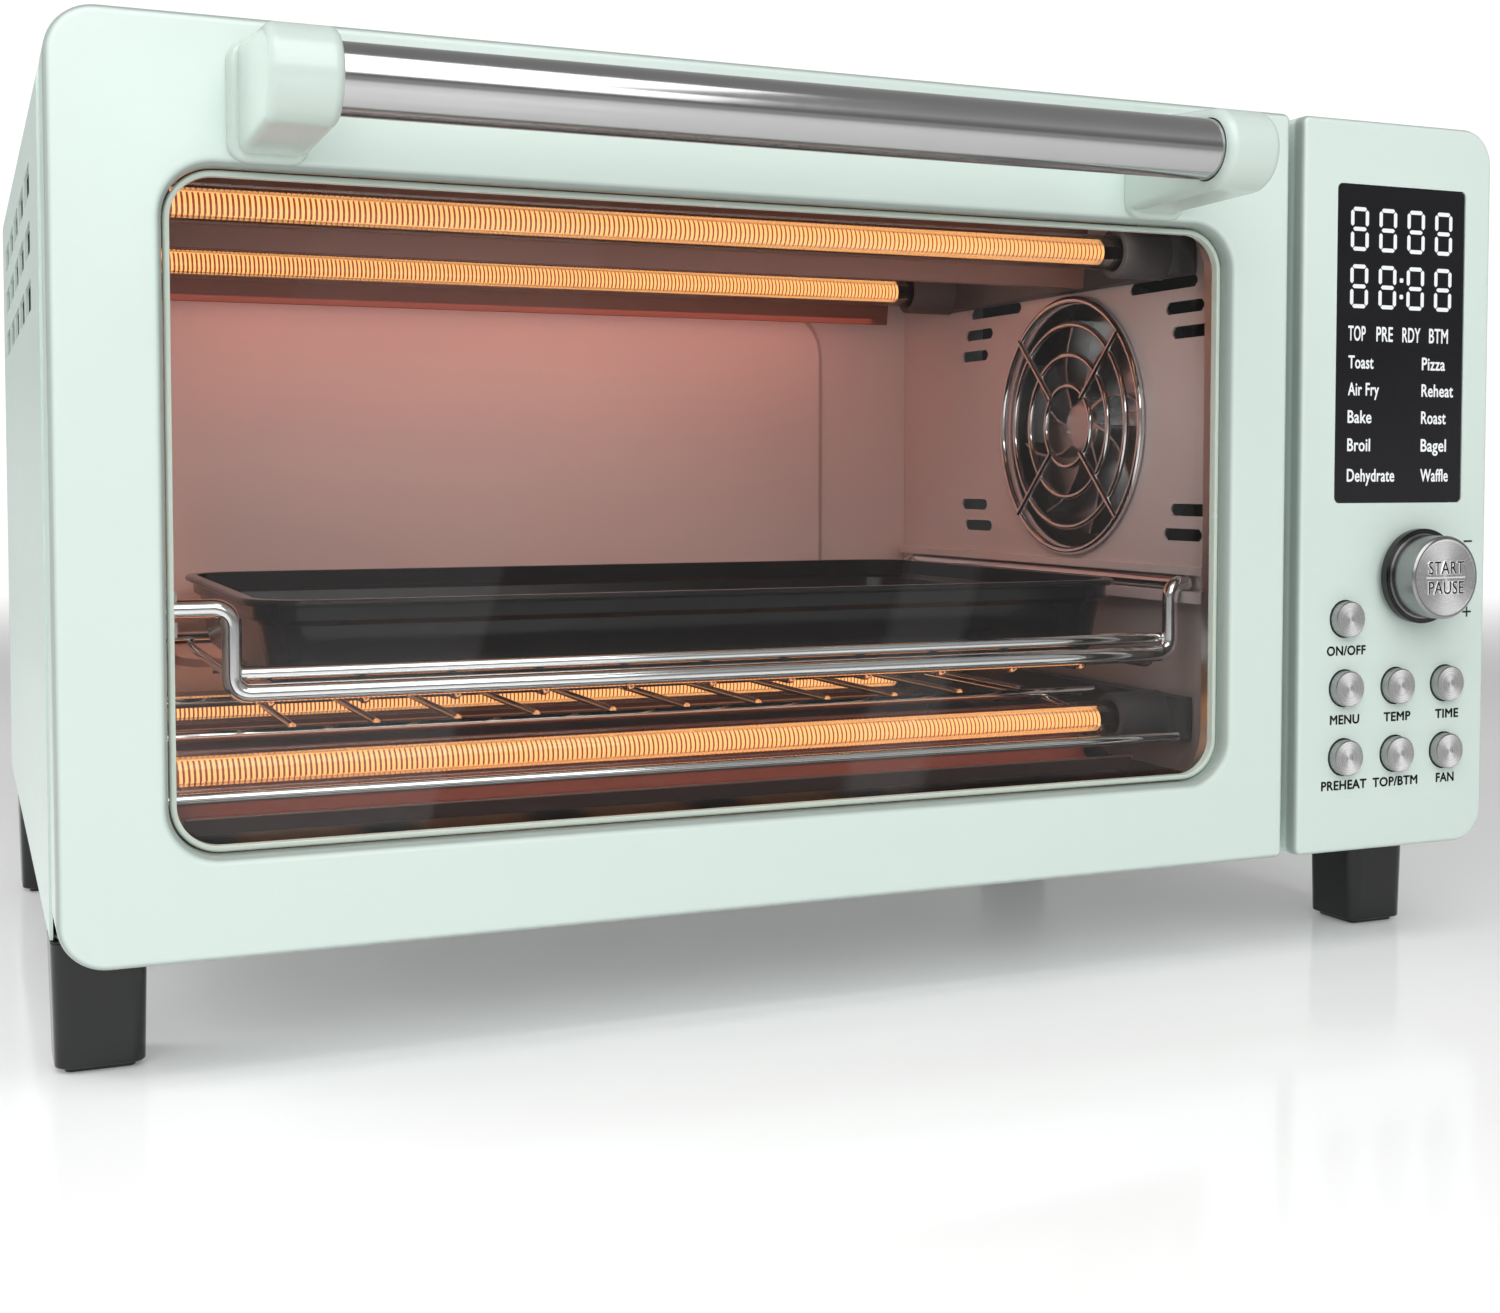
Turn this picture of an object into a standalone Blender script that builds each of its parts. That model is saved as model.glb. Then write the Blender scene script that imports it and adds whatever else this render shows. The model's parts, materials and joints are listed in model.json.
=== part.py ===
# A countertop toaster oven: drop-down glass door, four quartz heaters, wire rack and pan,
# side convection fan, and a control panel with a display, seven buttons and a push knob.
#
# Shapes are written in millimetres in oven coordinates: x runs right from the front's left
# edge, y runs back from the door's outer face, z runs up from the front's underside.
# Each object is then placed in metres, with the origin on the worktop under the middle
# of the whole oven.
import math

import bmesh
import bpy
from mathutils import Matrix, Vector

mm = 0.001
gap = 0.3  # left between neighbours that touch on the real oven

# Driving sizes
front_width = 477.5
front_height = 250.0
foot_height = 37.5
body_depth = 388.0
handle_reach = 55.3
gland_reach = 5.0

door_width = 390.4
door_depth = 24.0
door_wall = 2.2
panel_left = 395.6
panel_depth = 27.7
outer_corner = 13.0
inner_corner = 2.5

frame_front = 28.0
frame_back = 41.7
casing_front = 42.0
casing_back = 386.0
sheet = 1.0

cavity_left = 26.0
cavity_right = 386.0
cavity_floor = 16.0
cavity_top = 228.0
cavity_back = 268.0
cavity_start = 30.3

window = (28.4, 366.3, 27.7, 210.8)
window_corner = 14.0
glass_front = 7.5
glass_back = 11.5

hinge_y = 18.0
hinge_z = 6.5
hinge_radius = 2.2
bracket_places = {"left": 14.0, "right": 373.0}

bar_y = -43.0
bar_z = 226.8
bar_radius = 9.1
nose_radius = 12.3
bar_ends = (61.0, 329.4)
handle_feet = {"left": (45.0, 66.0), "right": (324.4, 345.4)}

front_element_y = 58.0
rear_element_y = 215.0
top_element_z = 208.5
bottom_element_z = 42.5
tube_radius = 6.2
tube_bore = 5.2
coil_radius = 4.5
tube_ends = (30.0, 376.0)
coil_ends = (33.0, 354.5)

rack_front = 47.0
rack_back = 250.0
rack_high = 91.0
rack_low = 66.0
rack_wire = 2.5
cross_wire = 1.6
cross_first = 62.4
cross_spacing = 28.0
cross_count = 12
rack_sides = (29.5, 382.5)
rack_legs = (51.0, 377.0)

fan_y = 126.0
fan_z = 149.0
fan_hole = 48.0

button_radius = 6.1
button_columns = (415.3, 437.6, 459.5)
button_rows = (80.4, 56.6, 32.9)
knob_x = 445.0
knob_z = 94.7
display = (410.0, 465.8, 120.0, 228.3)

foot_width = 26.0
foot_length = 26.0
foot_taper = 0.8
pad_height = 1.6

total_depth = handle_reach + body_depth + gland_reach
to_world = Vector((-front_width / 2, handle_reach - total_depth / 2, foot_height))

finishes = {
    "mint_enamel": ((0.60, 0.76, 0.68), 0.35, 0.0),
    "zinc_steel": ((0.62, 0.63, 0.62), 0.40, 0.9),
    "cavity_steel": ((0.42, 0.40, 0.39), 0.38, 0.85),
    "dark_steel": ((0.07, 0.065, 0.06), 0.45, 0.6),
    "chrome": ((0.80, 0.81, 0.82), 0.10, 1.0),
    "brushed_metal": ((0.66, 0.67, 0.68), 0.30, 1.0),
    "black_enamel": ((0.025, 0.025, 0.028), 0.30, 0.0),
    "black_plastic": ((0.015, 0.015, 0.016), 0.28, 0.0),
    "black_glass": ((0.008, 0.008, 0.010), 0.05, 0.0),
    "clear_glass": ((0.85, 0.90, 0.88), 0.02, 0.0),
    "quartz": ((0.95, 0.80, 0.65), 0.05, 0.0),
    "glowing_wire": ((1.00, 0.50, 0.18), 0.50, 0.0),
    "ceramic": ((0.20, 0.19, 0.18), 0.70, 0.0),
    "circuit_board": ((0.02, 0.16, 0.08), 0.50, 0.0),
    "motor_steel": ((0.45, 0.46, 0.47), 0.35, 0.9),
    "trim_plastic": ((0.70, 0.80, 0.74), 0.30, 0.0),
}


# ---- Outlines and solids -------------------------------------------------------------

def along(axis, u, v, level):
    """A point from two outline coordinates and a level along the axis."""
    if axis == "x":
        return (level, u, v)
    if axis == "y":
        return (u, level, v)
    return (u, v, level)


def rounded(u0, u1, v0, v1, radii, inset=0.0, steps=5):
    """A rectangle with round corners, anticlockwise from the (u0, v0) corner."""
    if not isinstance(radii, tuple):
        radii = (radii,) * 4
    u0, u1, v0, v1 = u0 + inset, u1 - inset, v0 + inset, v1 - inset
    corners = ((u0, v0, 1, 1, 180), (u1, v0, -1, 1, 270), (u1, v1, -1, -1, 0), (u0, v1, 1, -1, 90))
    points = []
    for (u, v, side_u, side_v, start), radius in zip(corners, radii):
        radius = max(radius - inset, 0.2)
        for step in range(steps + 1):
            angle = math.radians(start + 90 * step / steps)
            points.append((u + side_u * radius + radius * math.cos(angle),
                           v + side_v * radius + radius * math.sin(angle)))
    return points


def round_outline(centre, radius, sides):
    """A circle as an outline."""
    turns = [2 * math.pi * side / sides for side in range(sides)]
    return [(centre[0] + radius * math.cos(a), centre[1] + radius * math.sin(a)) for a in turns]


def lofted(outlines, axis, levels):
    """A closed solid through outlines of equal point count."""
    shape = bmesh.new()
    rings = [[shape.verts.new(along(axis, u, v, level)) for u, v in outline]
             for outline, level in zip(outlines, levels)]
    for near, far in zip(rings, rings[1:]):
        for i in range(len(near)):
            j = (i + 1) % len(near)
            shape.faces.new((near[i], near[j], far[j], far[i]))
    shape.faces.new(rings[0])
    shape.faces.new(rings[-1])
    bmesh.ops.recalc_face_normals(shape, faces=shape.faces)
    return shape


def prism(outline, axis, low, high):
    return lofted([outline, outline], axis, [low, high])


def box(x0, x1, y0, y1, z0, z1):
    return prism([(x0, y0), (x1, y0), (x1, y1), (x0, y1)], "z", z0, z1)


def turned(profile, axis, centre, sides=28, hollow=False):
    """A turned solid: profile is (radius, level) pairs; a hollow one closes on itself."""
    shape = bmesh.new()
    rings = []
    for radius, level in profile:
        if radius == 0:
            rings.append([shape.verts.new(along(axis, centre[0], centre[1], level))] * sides)
        else:
            rings.append([shape.verts.new(along(axis, u, v, level))
                          for u, v in round_outline(centre, radius, sides)])
    pairs = list(zip(rings, rings[1:]))
    if hollow:
        pairs.append((rings[-1], rings[0]))
    for near, far in pairs:
        for i in range(sides):
            j = (i + 1) % sides
            corners = []
            for corner in (near[i], near[j], far[j], far[i]):
                if corner not in corners:
                    corners.append(corner)
            shape.faces.new(corners)
    bmesh.ops.recalc_face_normals(shape, faces=shape.faces)
    return shape


def rod(start, end, radius, sides=8):
    """A round bar between two points."""
    return swept([start, end], radius, sides)


def bent(points, radius, steps=4):
    """A path whose inner points are rounded to a bend radius."""
    points = [Vector(point) for point in points]
    path = [points[0]]
    for before, corner, after in zip(points, points[1:], points[2:]):
        start = corner + (before - corner).normalized() * radius
        end = corner + (after - corner).normalized() * radius
        for step in range(steps + 1):
            t = step / steps
            path.append(start.lerp(corner, t).lerp(corner.lerp(end, t), t))
    path.append(points[-1])
    return path


def swept(path, radius, sides=8):
    """A round wire along a path."""
    path = [Vector(point) for point in path]
    shape = bmesh.new()
    rings = []
    side = None
    for i, point in enumerate(path):
        ahead = path[min(i + 1, len(path) - 1)] - path[max(i - 1, 0)]
        ahead.normalize()
        if side is None:
            side = ahead.orthogonal().normalized()
        side = (side - ahead * side.dot(ahead)).normalized()
        other = ahead.cross(side)
        ring = []
        for k in range(sides):
            angle = 2 * math.pi * (k + 0.5) / sides
            ring.append(shape.verts.new(point + radius * (math.cos(angle) * side + math.sin(angle) * other)))
        rings.append(ring)
    for near, far in zip(rings, rings[1:]):
        for k in range(sides):
            j = (k + 1) % sides
            shape.faces.new((near[k], near[j], far[j], far[k]))
    shape.faces.new(rings[0])
    shape.faces.new(rings[-1])
    bmesh.ops.recalc_face_normals(shape, faces=shape.faces)
    return shape


def folded_sheet(path, thickness, low_x, high_x):
    """A folded metal sheet: a (y, z) path given a thickness on its left, run along x."""
    points = [Vector(point) for point in path]
    inner = []
    for i, point in enumerate(points):
        normals = []
        for start, end in ((i - 1, i), (i, i + 1)):
            if start >= 0 and end < len(points):
                run = (points[end] - points[start]).normalized()
                normals.append(Vector((-run.y, run.x)))
        middle = sum(normals, Vector((0, 0))).normalized()
        inner.append(point + middle * thickness / middle.dot(normals[0]))
    outline = [tuple(p) for p in points] + [tuple(p) for p in reversed(inner)]
    return prism(outline, "x", low_x, high_x)


def together(shapes):
    """Several shapes in one, for a cutter or for pieces a union will join."""
    whole = bmesh.new()
    for shape in shapes:
        mesh = bpy.data.meshes.new("passing")
        shape.to_mesh(mesh)
        shape.free()
        whole.from_mesh(mesh)
        bpy.data.meshes.remove(mesh)
    return whole


# ---- Objects ---------------------------------------------------------------------------

def finish_material(name):
    material = bpy.data.materials.get(name)
    if material is None:
        colour, roughness, metallic = finishes[name]
        material = bpy.data.materials.new(name)
        material.use_nodes = True
        shader = material.node_tree.nodes["Principled BSDF"]
        shader.inputs["Base Color"].default_value = (*colour, 1.0)
        shader.inputs["Roughness"].default_value = roughness
        shader.inputs["Metallic"].default_value = metallic
    return material


def place(name, shape, pivot=(0, 0, 0)):
    """Turn a shape in oven coordinates into an object whose origin is the pivot."""
    pivot = Vector(pivot)
    bmesh.ops.translate(shape, vec=-pivot, verts=shape.verts)
    bmesh.ops.scale(shape, vec=(mm, mm, mm), verts=shape.verts)
    mesh = bpy.data.meshes.new(name)
    shape.to_mesh(mesh)
    shape.free()
    piece = bpy.data.objects.new(name, mesh)
    piece.location = (pivot + to_world) * mm
    bpy.context.scene.collection.objects.link(piece)
    return piece


def part(name, shape, finish, pivot=(0, 0, 0)):
    piece = place(name, shape, pivot)
    piece.data.materials.append(finish_material(finish))
    piece.data.shade_smooth()
    piece.data.set_sharp_from_angle(angle=math.radians(35))
    return piece


def shaped(piece, operation, shape):
    """Cut a shape out of a piece, or join it on, with a live Boolean."""
    tool = place(piece.name + "_" + operation.lower() + str(len(piece.modifiers)), shape)
    tool.hide_render = True
    tool.display_type = "WIRE"
    step = piece.modifiers.new(operation.lower(), "BOOLEAN")
    step.operation = operation
    step.solver = "EXACT"
    step.object = tool


def cut(piece, shape):
    shaped(piece, "DIFFERENCE", shape)


def join(piece, shape):
    shaped(piece, "UNION", shape)


def soften(piece, width, segments=2):
    step = piece.modifiers.new("soften", "BEVEL")
    step.width = width * mm
    step.segments = segments
    step.limit_method = "ANGLE"
    step.angle_limit = math.radians(40)


# ---- Outer body --------------------------------------------------------------------------

def soft_front(u0, u1, radii, back):
    """A front panel's solid: full height, with its front edge rounded over."""
    steps = ((1.8, 0.0), (0.7, 0.5), (0.0, 1.8), (0.0, back))
    outlines = [rounded(u0, u1, 0, front_height, radii, inset) for inset, level in steps]
    return lofted(outlines, "y", [level for inset, level in steps])


def side_vents(x0, x1):
    """Three rows of five long slots through one side of the casing."""
    first, length, height = 98.0, 40.0, 9.5
    slots = []
    for top in (224.0, 206.5, 189.0):
        for column in range(5):
            y = first + column * 52.0
            slots.append(prism(rounded(y, y + length, top - height, top, 0.9, steps=1), "x", x0, x1))
    return together(slots)


def outer_casing():
    corners = (0.3, 0.3, outer_corner, outer_corner)
    casing = part("outer_casing", prism(rounded(0, front_width, 0, front_height, corners), "y",
                                        casing_front, casing_back), "mint_enamel")
    round_inside = outer_corner - sheet
    inside = rounded(sheet, front_width - sheet, -20, front_height - sheet, (0.3, 0.3, round_inside, round_inside))
    cut(casing, prism(inside, "y", casing_front - 5, casing_back + 5))
    cut(casing, side_vents(-5, 5))
    cut(casing, side_vents(front_width - 5, front_width + 5))


def rear_cover():
    outline = rounded(0, front_width, 0, front_height, (3, 3, outer_corner, outer_corner))
    cover = part("rear_cover", prism(outline, "y", casing_back + gap, body_depth), "zinc_steel")
    slots = []
    for row_z in (176.0, 192.0, 208.0):
        for column in range(6):
            x = 80.0 + column * 55.0
            slots.append(prism(rounded(x, x + 42, row_z, row_z + 6, 2.0, steps=1), "y",
                               casing_back - 5, body_depth + 5))
    cut(cover, together(slots))
    cut(cover, turned([(0, casing_back - 5), (8.2, casing_back - 5), (8.2, body_depth + 5), (0, body_depth + 5)],
                      "y", (420.0, 40.0), 20))
    ring = [(4.0, 380.0), (4.0, body_depth + gland_reach), (9.0, body_depth + gland_reach),
            (11.0, body_depth + 3.5), (11.0, body_depth + gap), (7.9, body_depth + gap), (7.9, 380.0)]
    part("cord_gland", turned(ring, "y", (420.0, 40.0), 20, hollow=True), "black_plastic")


def base_plate():
    outline = rounded(sheet + gap, front_width - sheet - gap, casing_front + gap, casing_back - gap, 1.0, steps=1)
    base = part("base_plate", prism(outline, "z", 0.0, sheet), "zinc_steel")
    slots = []
    for row in range(3):
        for column in range(5):
            x, y = 70.0 + column * 74.0, 130.0 + row * 70.0
            slots.append(prism(rounded(x, x + 42, y, y + 6, 2.0, steps=1), "z", -5, 5))
    cut(base, together(slots))


def feet():
    middle_x = {"left": foot_width / 2, "right": front_width - foot_width / 2}
    middle_y = {"front": 50.0, "rear": 300.0}
    for row, y in middle_y.items():
        for side, x in middle_x.items():
            levels = (-gap, -foot_height + pad_height)
            outlines = []
            for taper in (0.0, foot_taper):
                half_w, half_l = foot_width / 2 - taper, foot_length / 2 - taper
                outlines.append(rounded(x - half_w, x + half_w, y - half_l, y + half_l, 5.0, steps=4))
            foot = part("foot_" + row + "_" + side, lofted(outlines, "z", levels), "black_plastic")
            pad_top = -foot_height + pad_height + 1
            join(foot, turned([(0, pad_top), (8.6, pad_top), (8.6, -foot_height), (0, -foot_height)],
                              "z", (x, y), sides=20))


def front_frame():
    """The pressed frame behind door and panel, with a rim that meets the casing."""
    outline = rounded(1.2, front_width - 1.2, 1.2, front_height - 1.2, 12.0)
    frame = part("front_frame", prism(outline, "y", frame_front, frame_back), "mint_enamel")
    pocket = rounded(2.7, front_width - 2.7, 2.7, front_height - 2.7, 10.5)
    cut(frame, prism(pocket, "y", cavity_start - gap, frame_back + 5))
    openings = [prism(rounded(cavity_left, cavity_right, cavity_floor, cavity_top, 6.0), "y", 20, 50),
                prism(rounded(401.0, 472.0, 14.0, 236.0, 4.0, steps=2), "y", 20, 50)]
    cut(frame, together(openings))


# ---- Cavity --------------------------------------------------------------------------------

def ledges(wall, x0, x1):
    """The two pressed ledges of a side wall, with the groove the rack's side bar runs in."""
    for low, high in ((84.0, 88.2), (94.0, 97.0)):
        join(wall, box(x0, x1, 34.0, 262.0, low, high))


def cavity_walls():
    back = cavity_back
    left = part("cavity_left_wall", box(cavity_left - sheet, cavity_left, cavity_start, back,
                                        cavity_floor + gap, cavity_top - gap), "cavity_steel")
    ledges(left, cavity_left - 0.5, cavity_left + 8.5)
    right = part("cavity_right_wall", box(cavity_right, cavity_right + sheet, cavity_start, back,
                                          cavity_floor + gap, cavity_top - gap), "cavity_steel")
    ledges(right, cavity_right - 5.4, cavity_right + 0.5)
    cut(right, prism(round_outline((fan_y, fan_z), fan_hole, 32), "x", cavity_right - 5, cavity_right + 5))
    cut(right, together(fan_outlets()))
    for name, low in (("cavity_top", cavity_top), ("cavity_floor", cavity_floor - sheet)):
        part(name, box(cavity_left - sheet, cavity_right + sheet, cavity_start, back, low, low + sheet),
             "cavity_steel")
    rear = part("cavity_rear_wall", box(cavity_left - sheet, cavity_right + sheet, back + gap, back + gap + sheet,
                                        cavity_floor - sheet, cavity_top + sheet), "cavity_steel")
    raised = [rounded(44.0, 344.0, 52.0, 206.0, 22.0, inset) for inset in (4.0, 0.0)]
    join(rear, lofted(raised, "y", (back - 4.0, back + 1.0)))
    hollow = [rounded(44.0, 344.0, 52.0, 206.0, 22.0, inset) for inset in (5.6, 1.6)]
    cut(rear, lofted(hollow, "y", (back - 2.5, back + 2.5)))


def fan_outlets():
    """Air slots in the right wall: rows that follow a ring round the fan."""
    slots = []
    for level, start, end in ((59.0, 39.0, 71.0), (50.0, 39.0, 81.0), (41.0, 62.0, 85.0), (32.0, 66.0, 88.0),
                              (-32.0, 66.0, 88.0), (-41.0, 62.0, 85.0)):
        for side in (1, -1):
            near, far = sorted((fan_y + side * start, fan_y + side * end))
            z = fan_z + level
            slots.append(prism(rounded(near, far, z - 2.2, z + 2.2, 1.6, steps=1), "x",
                               cavity_right - 5, cavity_right + 5))
    return slots


def crumb_tray():
    outline = rounded(30.0, 382.0, 33.0, 262.0, 6.0, steps=3)
    tray = part("crumb_tray", prism(outline, "z", 16.5, 23.5), "dark_steel")
    cut(tray, prism(rounded(30.0, 382.0, 33.0, 262.0, 6.0, inset=1.2, steps=3), "z", 17.9, 40.0))


def heaters():
    rows = {"front": front_element_y, "rear": rear_element_y}
    levels = {"top": top_element_z, "bottom": bottom_element_z}
    for level, z in levels.items():
        for row, y in rows.items():
            ring = [(tube_bore, tube_ends[0]), (tube_bore, tube_ends[1]),
                    (tube_radius, tube_ends[1]), (tube_radius, tube_ends[0])]
            part("quartz_tube_" + level + "_" + row, turned(ring, "x", (y, z), 20, hollow=True), "quartz")
            wire = [(0, coil_ends[0]), (coil_radius, coil_ends[0]), (coil_radius, coil_ends[1]), (0, coil_ends[1])]
            part("heating_coil_" + level + "_" + row, turned(wire, "x", (y, z), 16), "glowing_wire")
        for side, (plate, sockets) in {"left": ((26.5, 29.2), (28.0, 35.5)),
                                       "right": ((378.5, 385.4), (359.0, 380.0))}.items():
            holder = part("element_holder_" + level + "_" + side,
                          box(*plate, front_element_y - 13, rear_element_y + 13, z - 7.5, z + 7.5), "ceramic")
            for y in rows.values():
                cup = [(0, sockets[0]), (9.0, sockets[0]), (9.0, sockets[1]), (0, sockets[1])]
                join(holder, turned(cup, "x", (y, z), 16))
            bore_start = tube_ends[0] - gap if side == "left" else sockets[0] - 5
            bore_end = tube_ends[1] + gap if side == "right" else sockets[1] + 5
            bores = []
            for y in rows.values():
                hole = tube_radius + gap
                bores.append(turned([(0, bore_start), (hole, bore_start), (hole, bore_end), (0, bore_end)],
                                    "x", (y, z), 20))
            cut(holder, together(bores))


def reflectors():
    top = [(42.0, 214.5), (44.0, 225.5), (71.0, 225.5), (75.5, 197.5), (78.5, 197.5), (83.0, 225.5),
           (197.0, 225.5), (199.0, 216.0), (201.5, 216.0), (203.5, 225.5), (227.0, 225.5), (231.5, 195.5)]
    part("reflector_top", folded_sheet(top, 1.0, 36.5, 358.0), "dark_steel")
    bottom = [(41.0, 31.0), (45.5, 25.6), (71.0, 25.6), (81.0, 37.0), (84.0, 37.0), (94.0, 25.6),
              (188.0, 25.6), (197.0, 35.5), (200.0, 35.5), (205.0, 25.6), (227.0, 25.6), (236.0, 37.0)]
    pan = part("reflector_bottom", folded_sheet(bottom, 1.0, 36.5, 358.0), "dark_steel")
    cut(pan, together([box(62.0 + 60 * i, 102.0 + 60 * i, 100.0, 182.0, 20.0, 30.0) for i in range(5)]))


def element_guard():
    """The chrome wire guard over the lower heaters."""
    front, middle, back = (42.0, 36.8), (96.0, 47.5), (188.0, 47.5)
    guard = part("element_guard", rod((31.0, *front), (377.0, *front), 1.8), "chrome")
    join(guard, rod((31.0, *middle), (377.0, *middle), 1.8))
    join(guard, rod((31.0, *back), (377.0, *back), 1.8))
    for x in (38.0, 356.0):
        under_tube = [(x, 40.5, 34.2), (x, 69.0, 33.6), (x, 79.0, 43.5), (x, 96.0, 45.6), (x, 189.5, 45.6)]
        join(guard, swept(bent(under_tube, 4.0, 2), 1.5, 6))
    for i in range(11):
        x = 76.0 + i * 27.0
        join(guard, rod((x, 94.5, 49.4), (x, 189.5, 49.4), 1.2, 6))


# ---- Fan ---------------------------------------------------------------------------------------

def fan():
    centre = (fan_y, fan_z)
    axis_point = (cavity_right, fan_y, fan_z)
    cup = [(56.0, 387.9), (56.0, 404.8), (6.0, 404.8), (6.0, 406.0), (57.2, 406.0), (57.2, 387.9)]
    part("fan_housing", turned(cup, "x", centre, 32, hollow=True), "zinc_steel")
    motor = part("fan_motor", turned([(0, 408.5), (20.0, 408.5), (24.0, 411.0), (24.0, 438.0), (20.0, 440.5),
                                      (0, 440.5)], "x", centre, 24), "motor_steel")
    cut(motor, turned([(0, 400.0), (3.4, 400.0), (3.4, 420.0), (0, 420.0)], "x", centre, 12))
    wheel = [(0, 388.6), (8.0, 388.6), (11.0, 391.0), (11.0, 400.0), (44.0, 400.0), (44.0, 401.2), (3.0, 401.2),
             (3.0, 418.0), (0, 418.0)]
    impeller = part("fan_impeller", turned(wheel, "x", centre, 24), "brushed_metal", axis_point)
    for i in range(8):
        join(impeller, fan_blade(2 * math.pi * i / 8))
    guard = part("fan_guard", wire_ring(centre, 49.6, 384.2, 1.5), "chrome")
    for radius in (16.0, 28.0, 40.0):
        join(guard, wire_ring(centre, radius, 384.2, 1.2))
    for i in range(4):
        angle = math.pi * i / 2 + math.pi / 4
        near, far = [(383.4, fan_y + r * math.cos(angle), fan_z + r * math.sin(angle)) for r in (15.0, 50.0)]
        join(guard, rod(near, far, 1.3, 6))


def fan_blade(start):
    """One blade, swept back as it runs out from the hub."""
    centre_line = []
    for step in range(5):
        radius = 10.0 + 8.2 * step
        angle = start + 0.16 * step
        centre_line.append(Vector((fan_y + radius * math.cos(angle), fan_z + radius * math.sin(angle))))
    outline = []
    for side in (0.6, -0.6):
        edge = []
        for i, point in enumerate(centre_line):
            run = (centre_line[min(i + 1, 4)] - centre_line[max(i - 1, 0)]).normalized()
            edge.append((point.x - side * run.y, point.y + side * run.x))
        outline += edge if side > 0 else edge[::-1]
    return prism(outline, "x", 390.5, 400.5)


def wire_ring(centre, radius, level, wire):
    ring = []
    for side in range(5):
        angle = 2 * math.pi * side / 5
        ring.append((radius + wire * math.cos(angle), level + wire * math.sin(angle)))
    return turned(ring, "x", centre, 24, hollow=True)


# ---- Rack and pan -------------------------------------------------------------------------------

def wire_rack():
    """A drop rack: side bars ride in the wall grooves, and the grid hangs lower."""
    left, right = rack_sides
    leg_left, leg_right = rack_legs
    rack = part("wire_rack", rod((left, rack_front - 2, rack_high), (left, rack_back + 2, rack_high), rack_wire),
                "chrome")
    join(rack, rod((right, rack_front - 2, rack_high), (right, rack_back + 2, rack_high), rack_wire))
    for y in (rack_front, rack_back):
        rail = [(left, y, rack_high), (leg_left, y, rack_high), (leg_left, y, rack_low),
                (leg_right, y, rack_low), (leg_right, y, rack_high), (right, y, rack_high)]
        join(rack, swept(bent(rail, 5.0, 3), rack_wire))
    join(rack, rod((leg_left, rack_front + 3, rack_low + 5.5), (leg_right, rack_front + 3, rack_low + 5.5), 2.1))
    for i in range(cross_count):
        x = cross_first + i * cross_spacing
        join(rack, rod((x, rack_front - 3, rack_low - 3.4), (x, rack_back + 3, rack_low - 3.4), cross_wire, 6))
    for y in (115.0, 182.0):
        join(rack, rod((leg_left + 11, y, rack_low - 6.0), (leg_right - 11, y, rack_low - 6.0), cross_wire, 6))


def baking_pan():
    """A drawn enamel pan with a flared wall and a rolled rim."""
    left, right, front, back = 57.5, 370.5, 57.0, 245.0
    bottom, top, wall = 64.6, 92.0, 1.3
    steps = ((11.0, bottom), (9.0, bottom + 1.6), (5.5, top - 8.0), (3.2, top - 6.5), (3.0, top - 2.2), (0.6, top - 2.2),
             (0.0, top - 1.1), (0.6, top))
    outer = [rounded(left, right, front, back, 22.0, inset, steps=5) for inset, z in steps]
    pan = part("baking_pan", lofted(outer, "z", [z for inset, z in steps]), "black_enamel")
    hollow = ((10.2 + wall, bottom + wall), (9.0 + wall, bottom + wall + 1.2), (5.5 + wall, top - 8.0 + 0.4),
              (3.2 + wall, top - 6.5 + 0.4), (3.0 + wall, top + 5.0))
    inner = [rounded(left, right, front, back, 22.0, inset, steps=5) for inset, z in hollow]
    cut(pan, lofted(inner, "z", [z for inset, z in hollow]))


# ---- Door ------------------------------------------------------------------------------------------

def window_outline(inset, corner=window_corner):
    return rounded(*window, corner, inset, steps=6)


def hinge_notches():
    """Room for the two hinge brackets as the door swings down round them."""
    return together([box(x - 1.5, x + 4.5, hinge_y - 5.5, 30.0, -5.0, hinge_z + 5.5)
                     for x in bracket_places.values()])


def door():
    pivot = (0, hinge_y, hinge_z)
    corners = (outer_corner, inner_corner, inner_corner, outer_corner)
    frame = part("door_frame", soft_front(0, door_width, corners, door_depth), "mint_enamel", pivot)
    inside = rounded(0, door_width, 0, front_height, corners, door_wall)
    cut(frame, prism(inside, "y", door_wall, door_depth + 5))
    cut(frame, prism(window_outline(0), "y", -5, 10))
    cut(frame, hinge_notches())

    edge = ((0.6, glass_front - gap), (0.6, 1.2), (1.1, 0.5), (2.1, 0.5), (2.6, 1.2), (2.6, glass_front - gap))
    bead = [window_outline(inset) for inset, level in edge]
    part("window_trim", ring_loft(bead, "y", [level for inset, level in edge]), "trim_plastic", pivot)

    part("door_glass", prism(window_outline(-8.0, 10.0), "y", glass_front, glass_back), "clear_glass", pivot)

    liner = part("door_inner_panel",
                 prism(rounded(0, door_width, 0, front_height, corners, door_wall + gap), "y", 21.4, 23.4),
                 "zinc_steel", pivot)
    join(liner, prism(window_outline(-8.2), "y", glass_back + gap, 22.0))
    cut(liner, prism(window_outline(-7.0), "y", 0, 40))
    cut(liner, hinge_notches())

    part("hinge_rod", rod((8.0, hinge_y, hinge_z), (door_width - 4.0, hinge_y, hinge_z), hinge_radius, 16),
         "zinc_steel", pivot)
    handle(pivot)


def ring_loft(outlines, axis, levels):
    """A ring whose cross-section follows the outlines and closes on the first."""
    shape = bmesh.new()
    rings = [[shape.verts.new(along(axis, u, v, level)) for u, v in outline]
             for outline, level in zip(outlines, levels)]
    for near, far in zip(rings, rings[1:] + rings[:1]):
        for i in range(len(near)):
            j = (i + 1) % len(near)
            shape.faces.new((near[i], near[j], far[j], far[i]))
    bmesh.ops.recalc_face_normals(shape, faces=shape.faces)
    return shape


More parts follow.
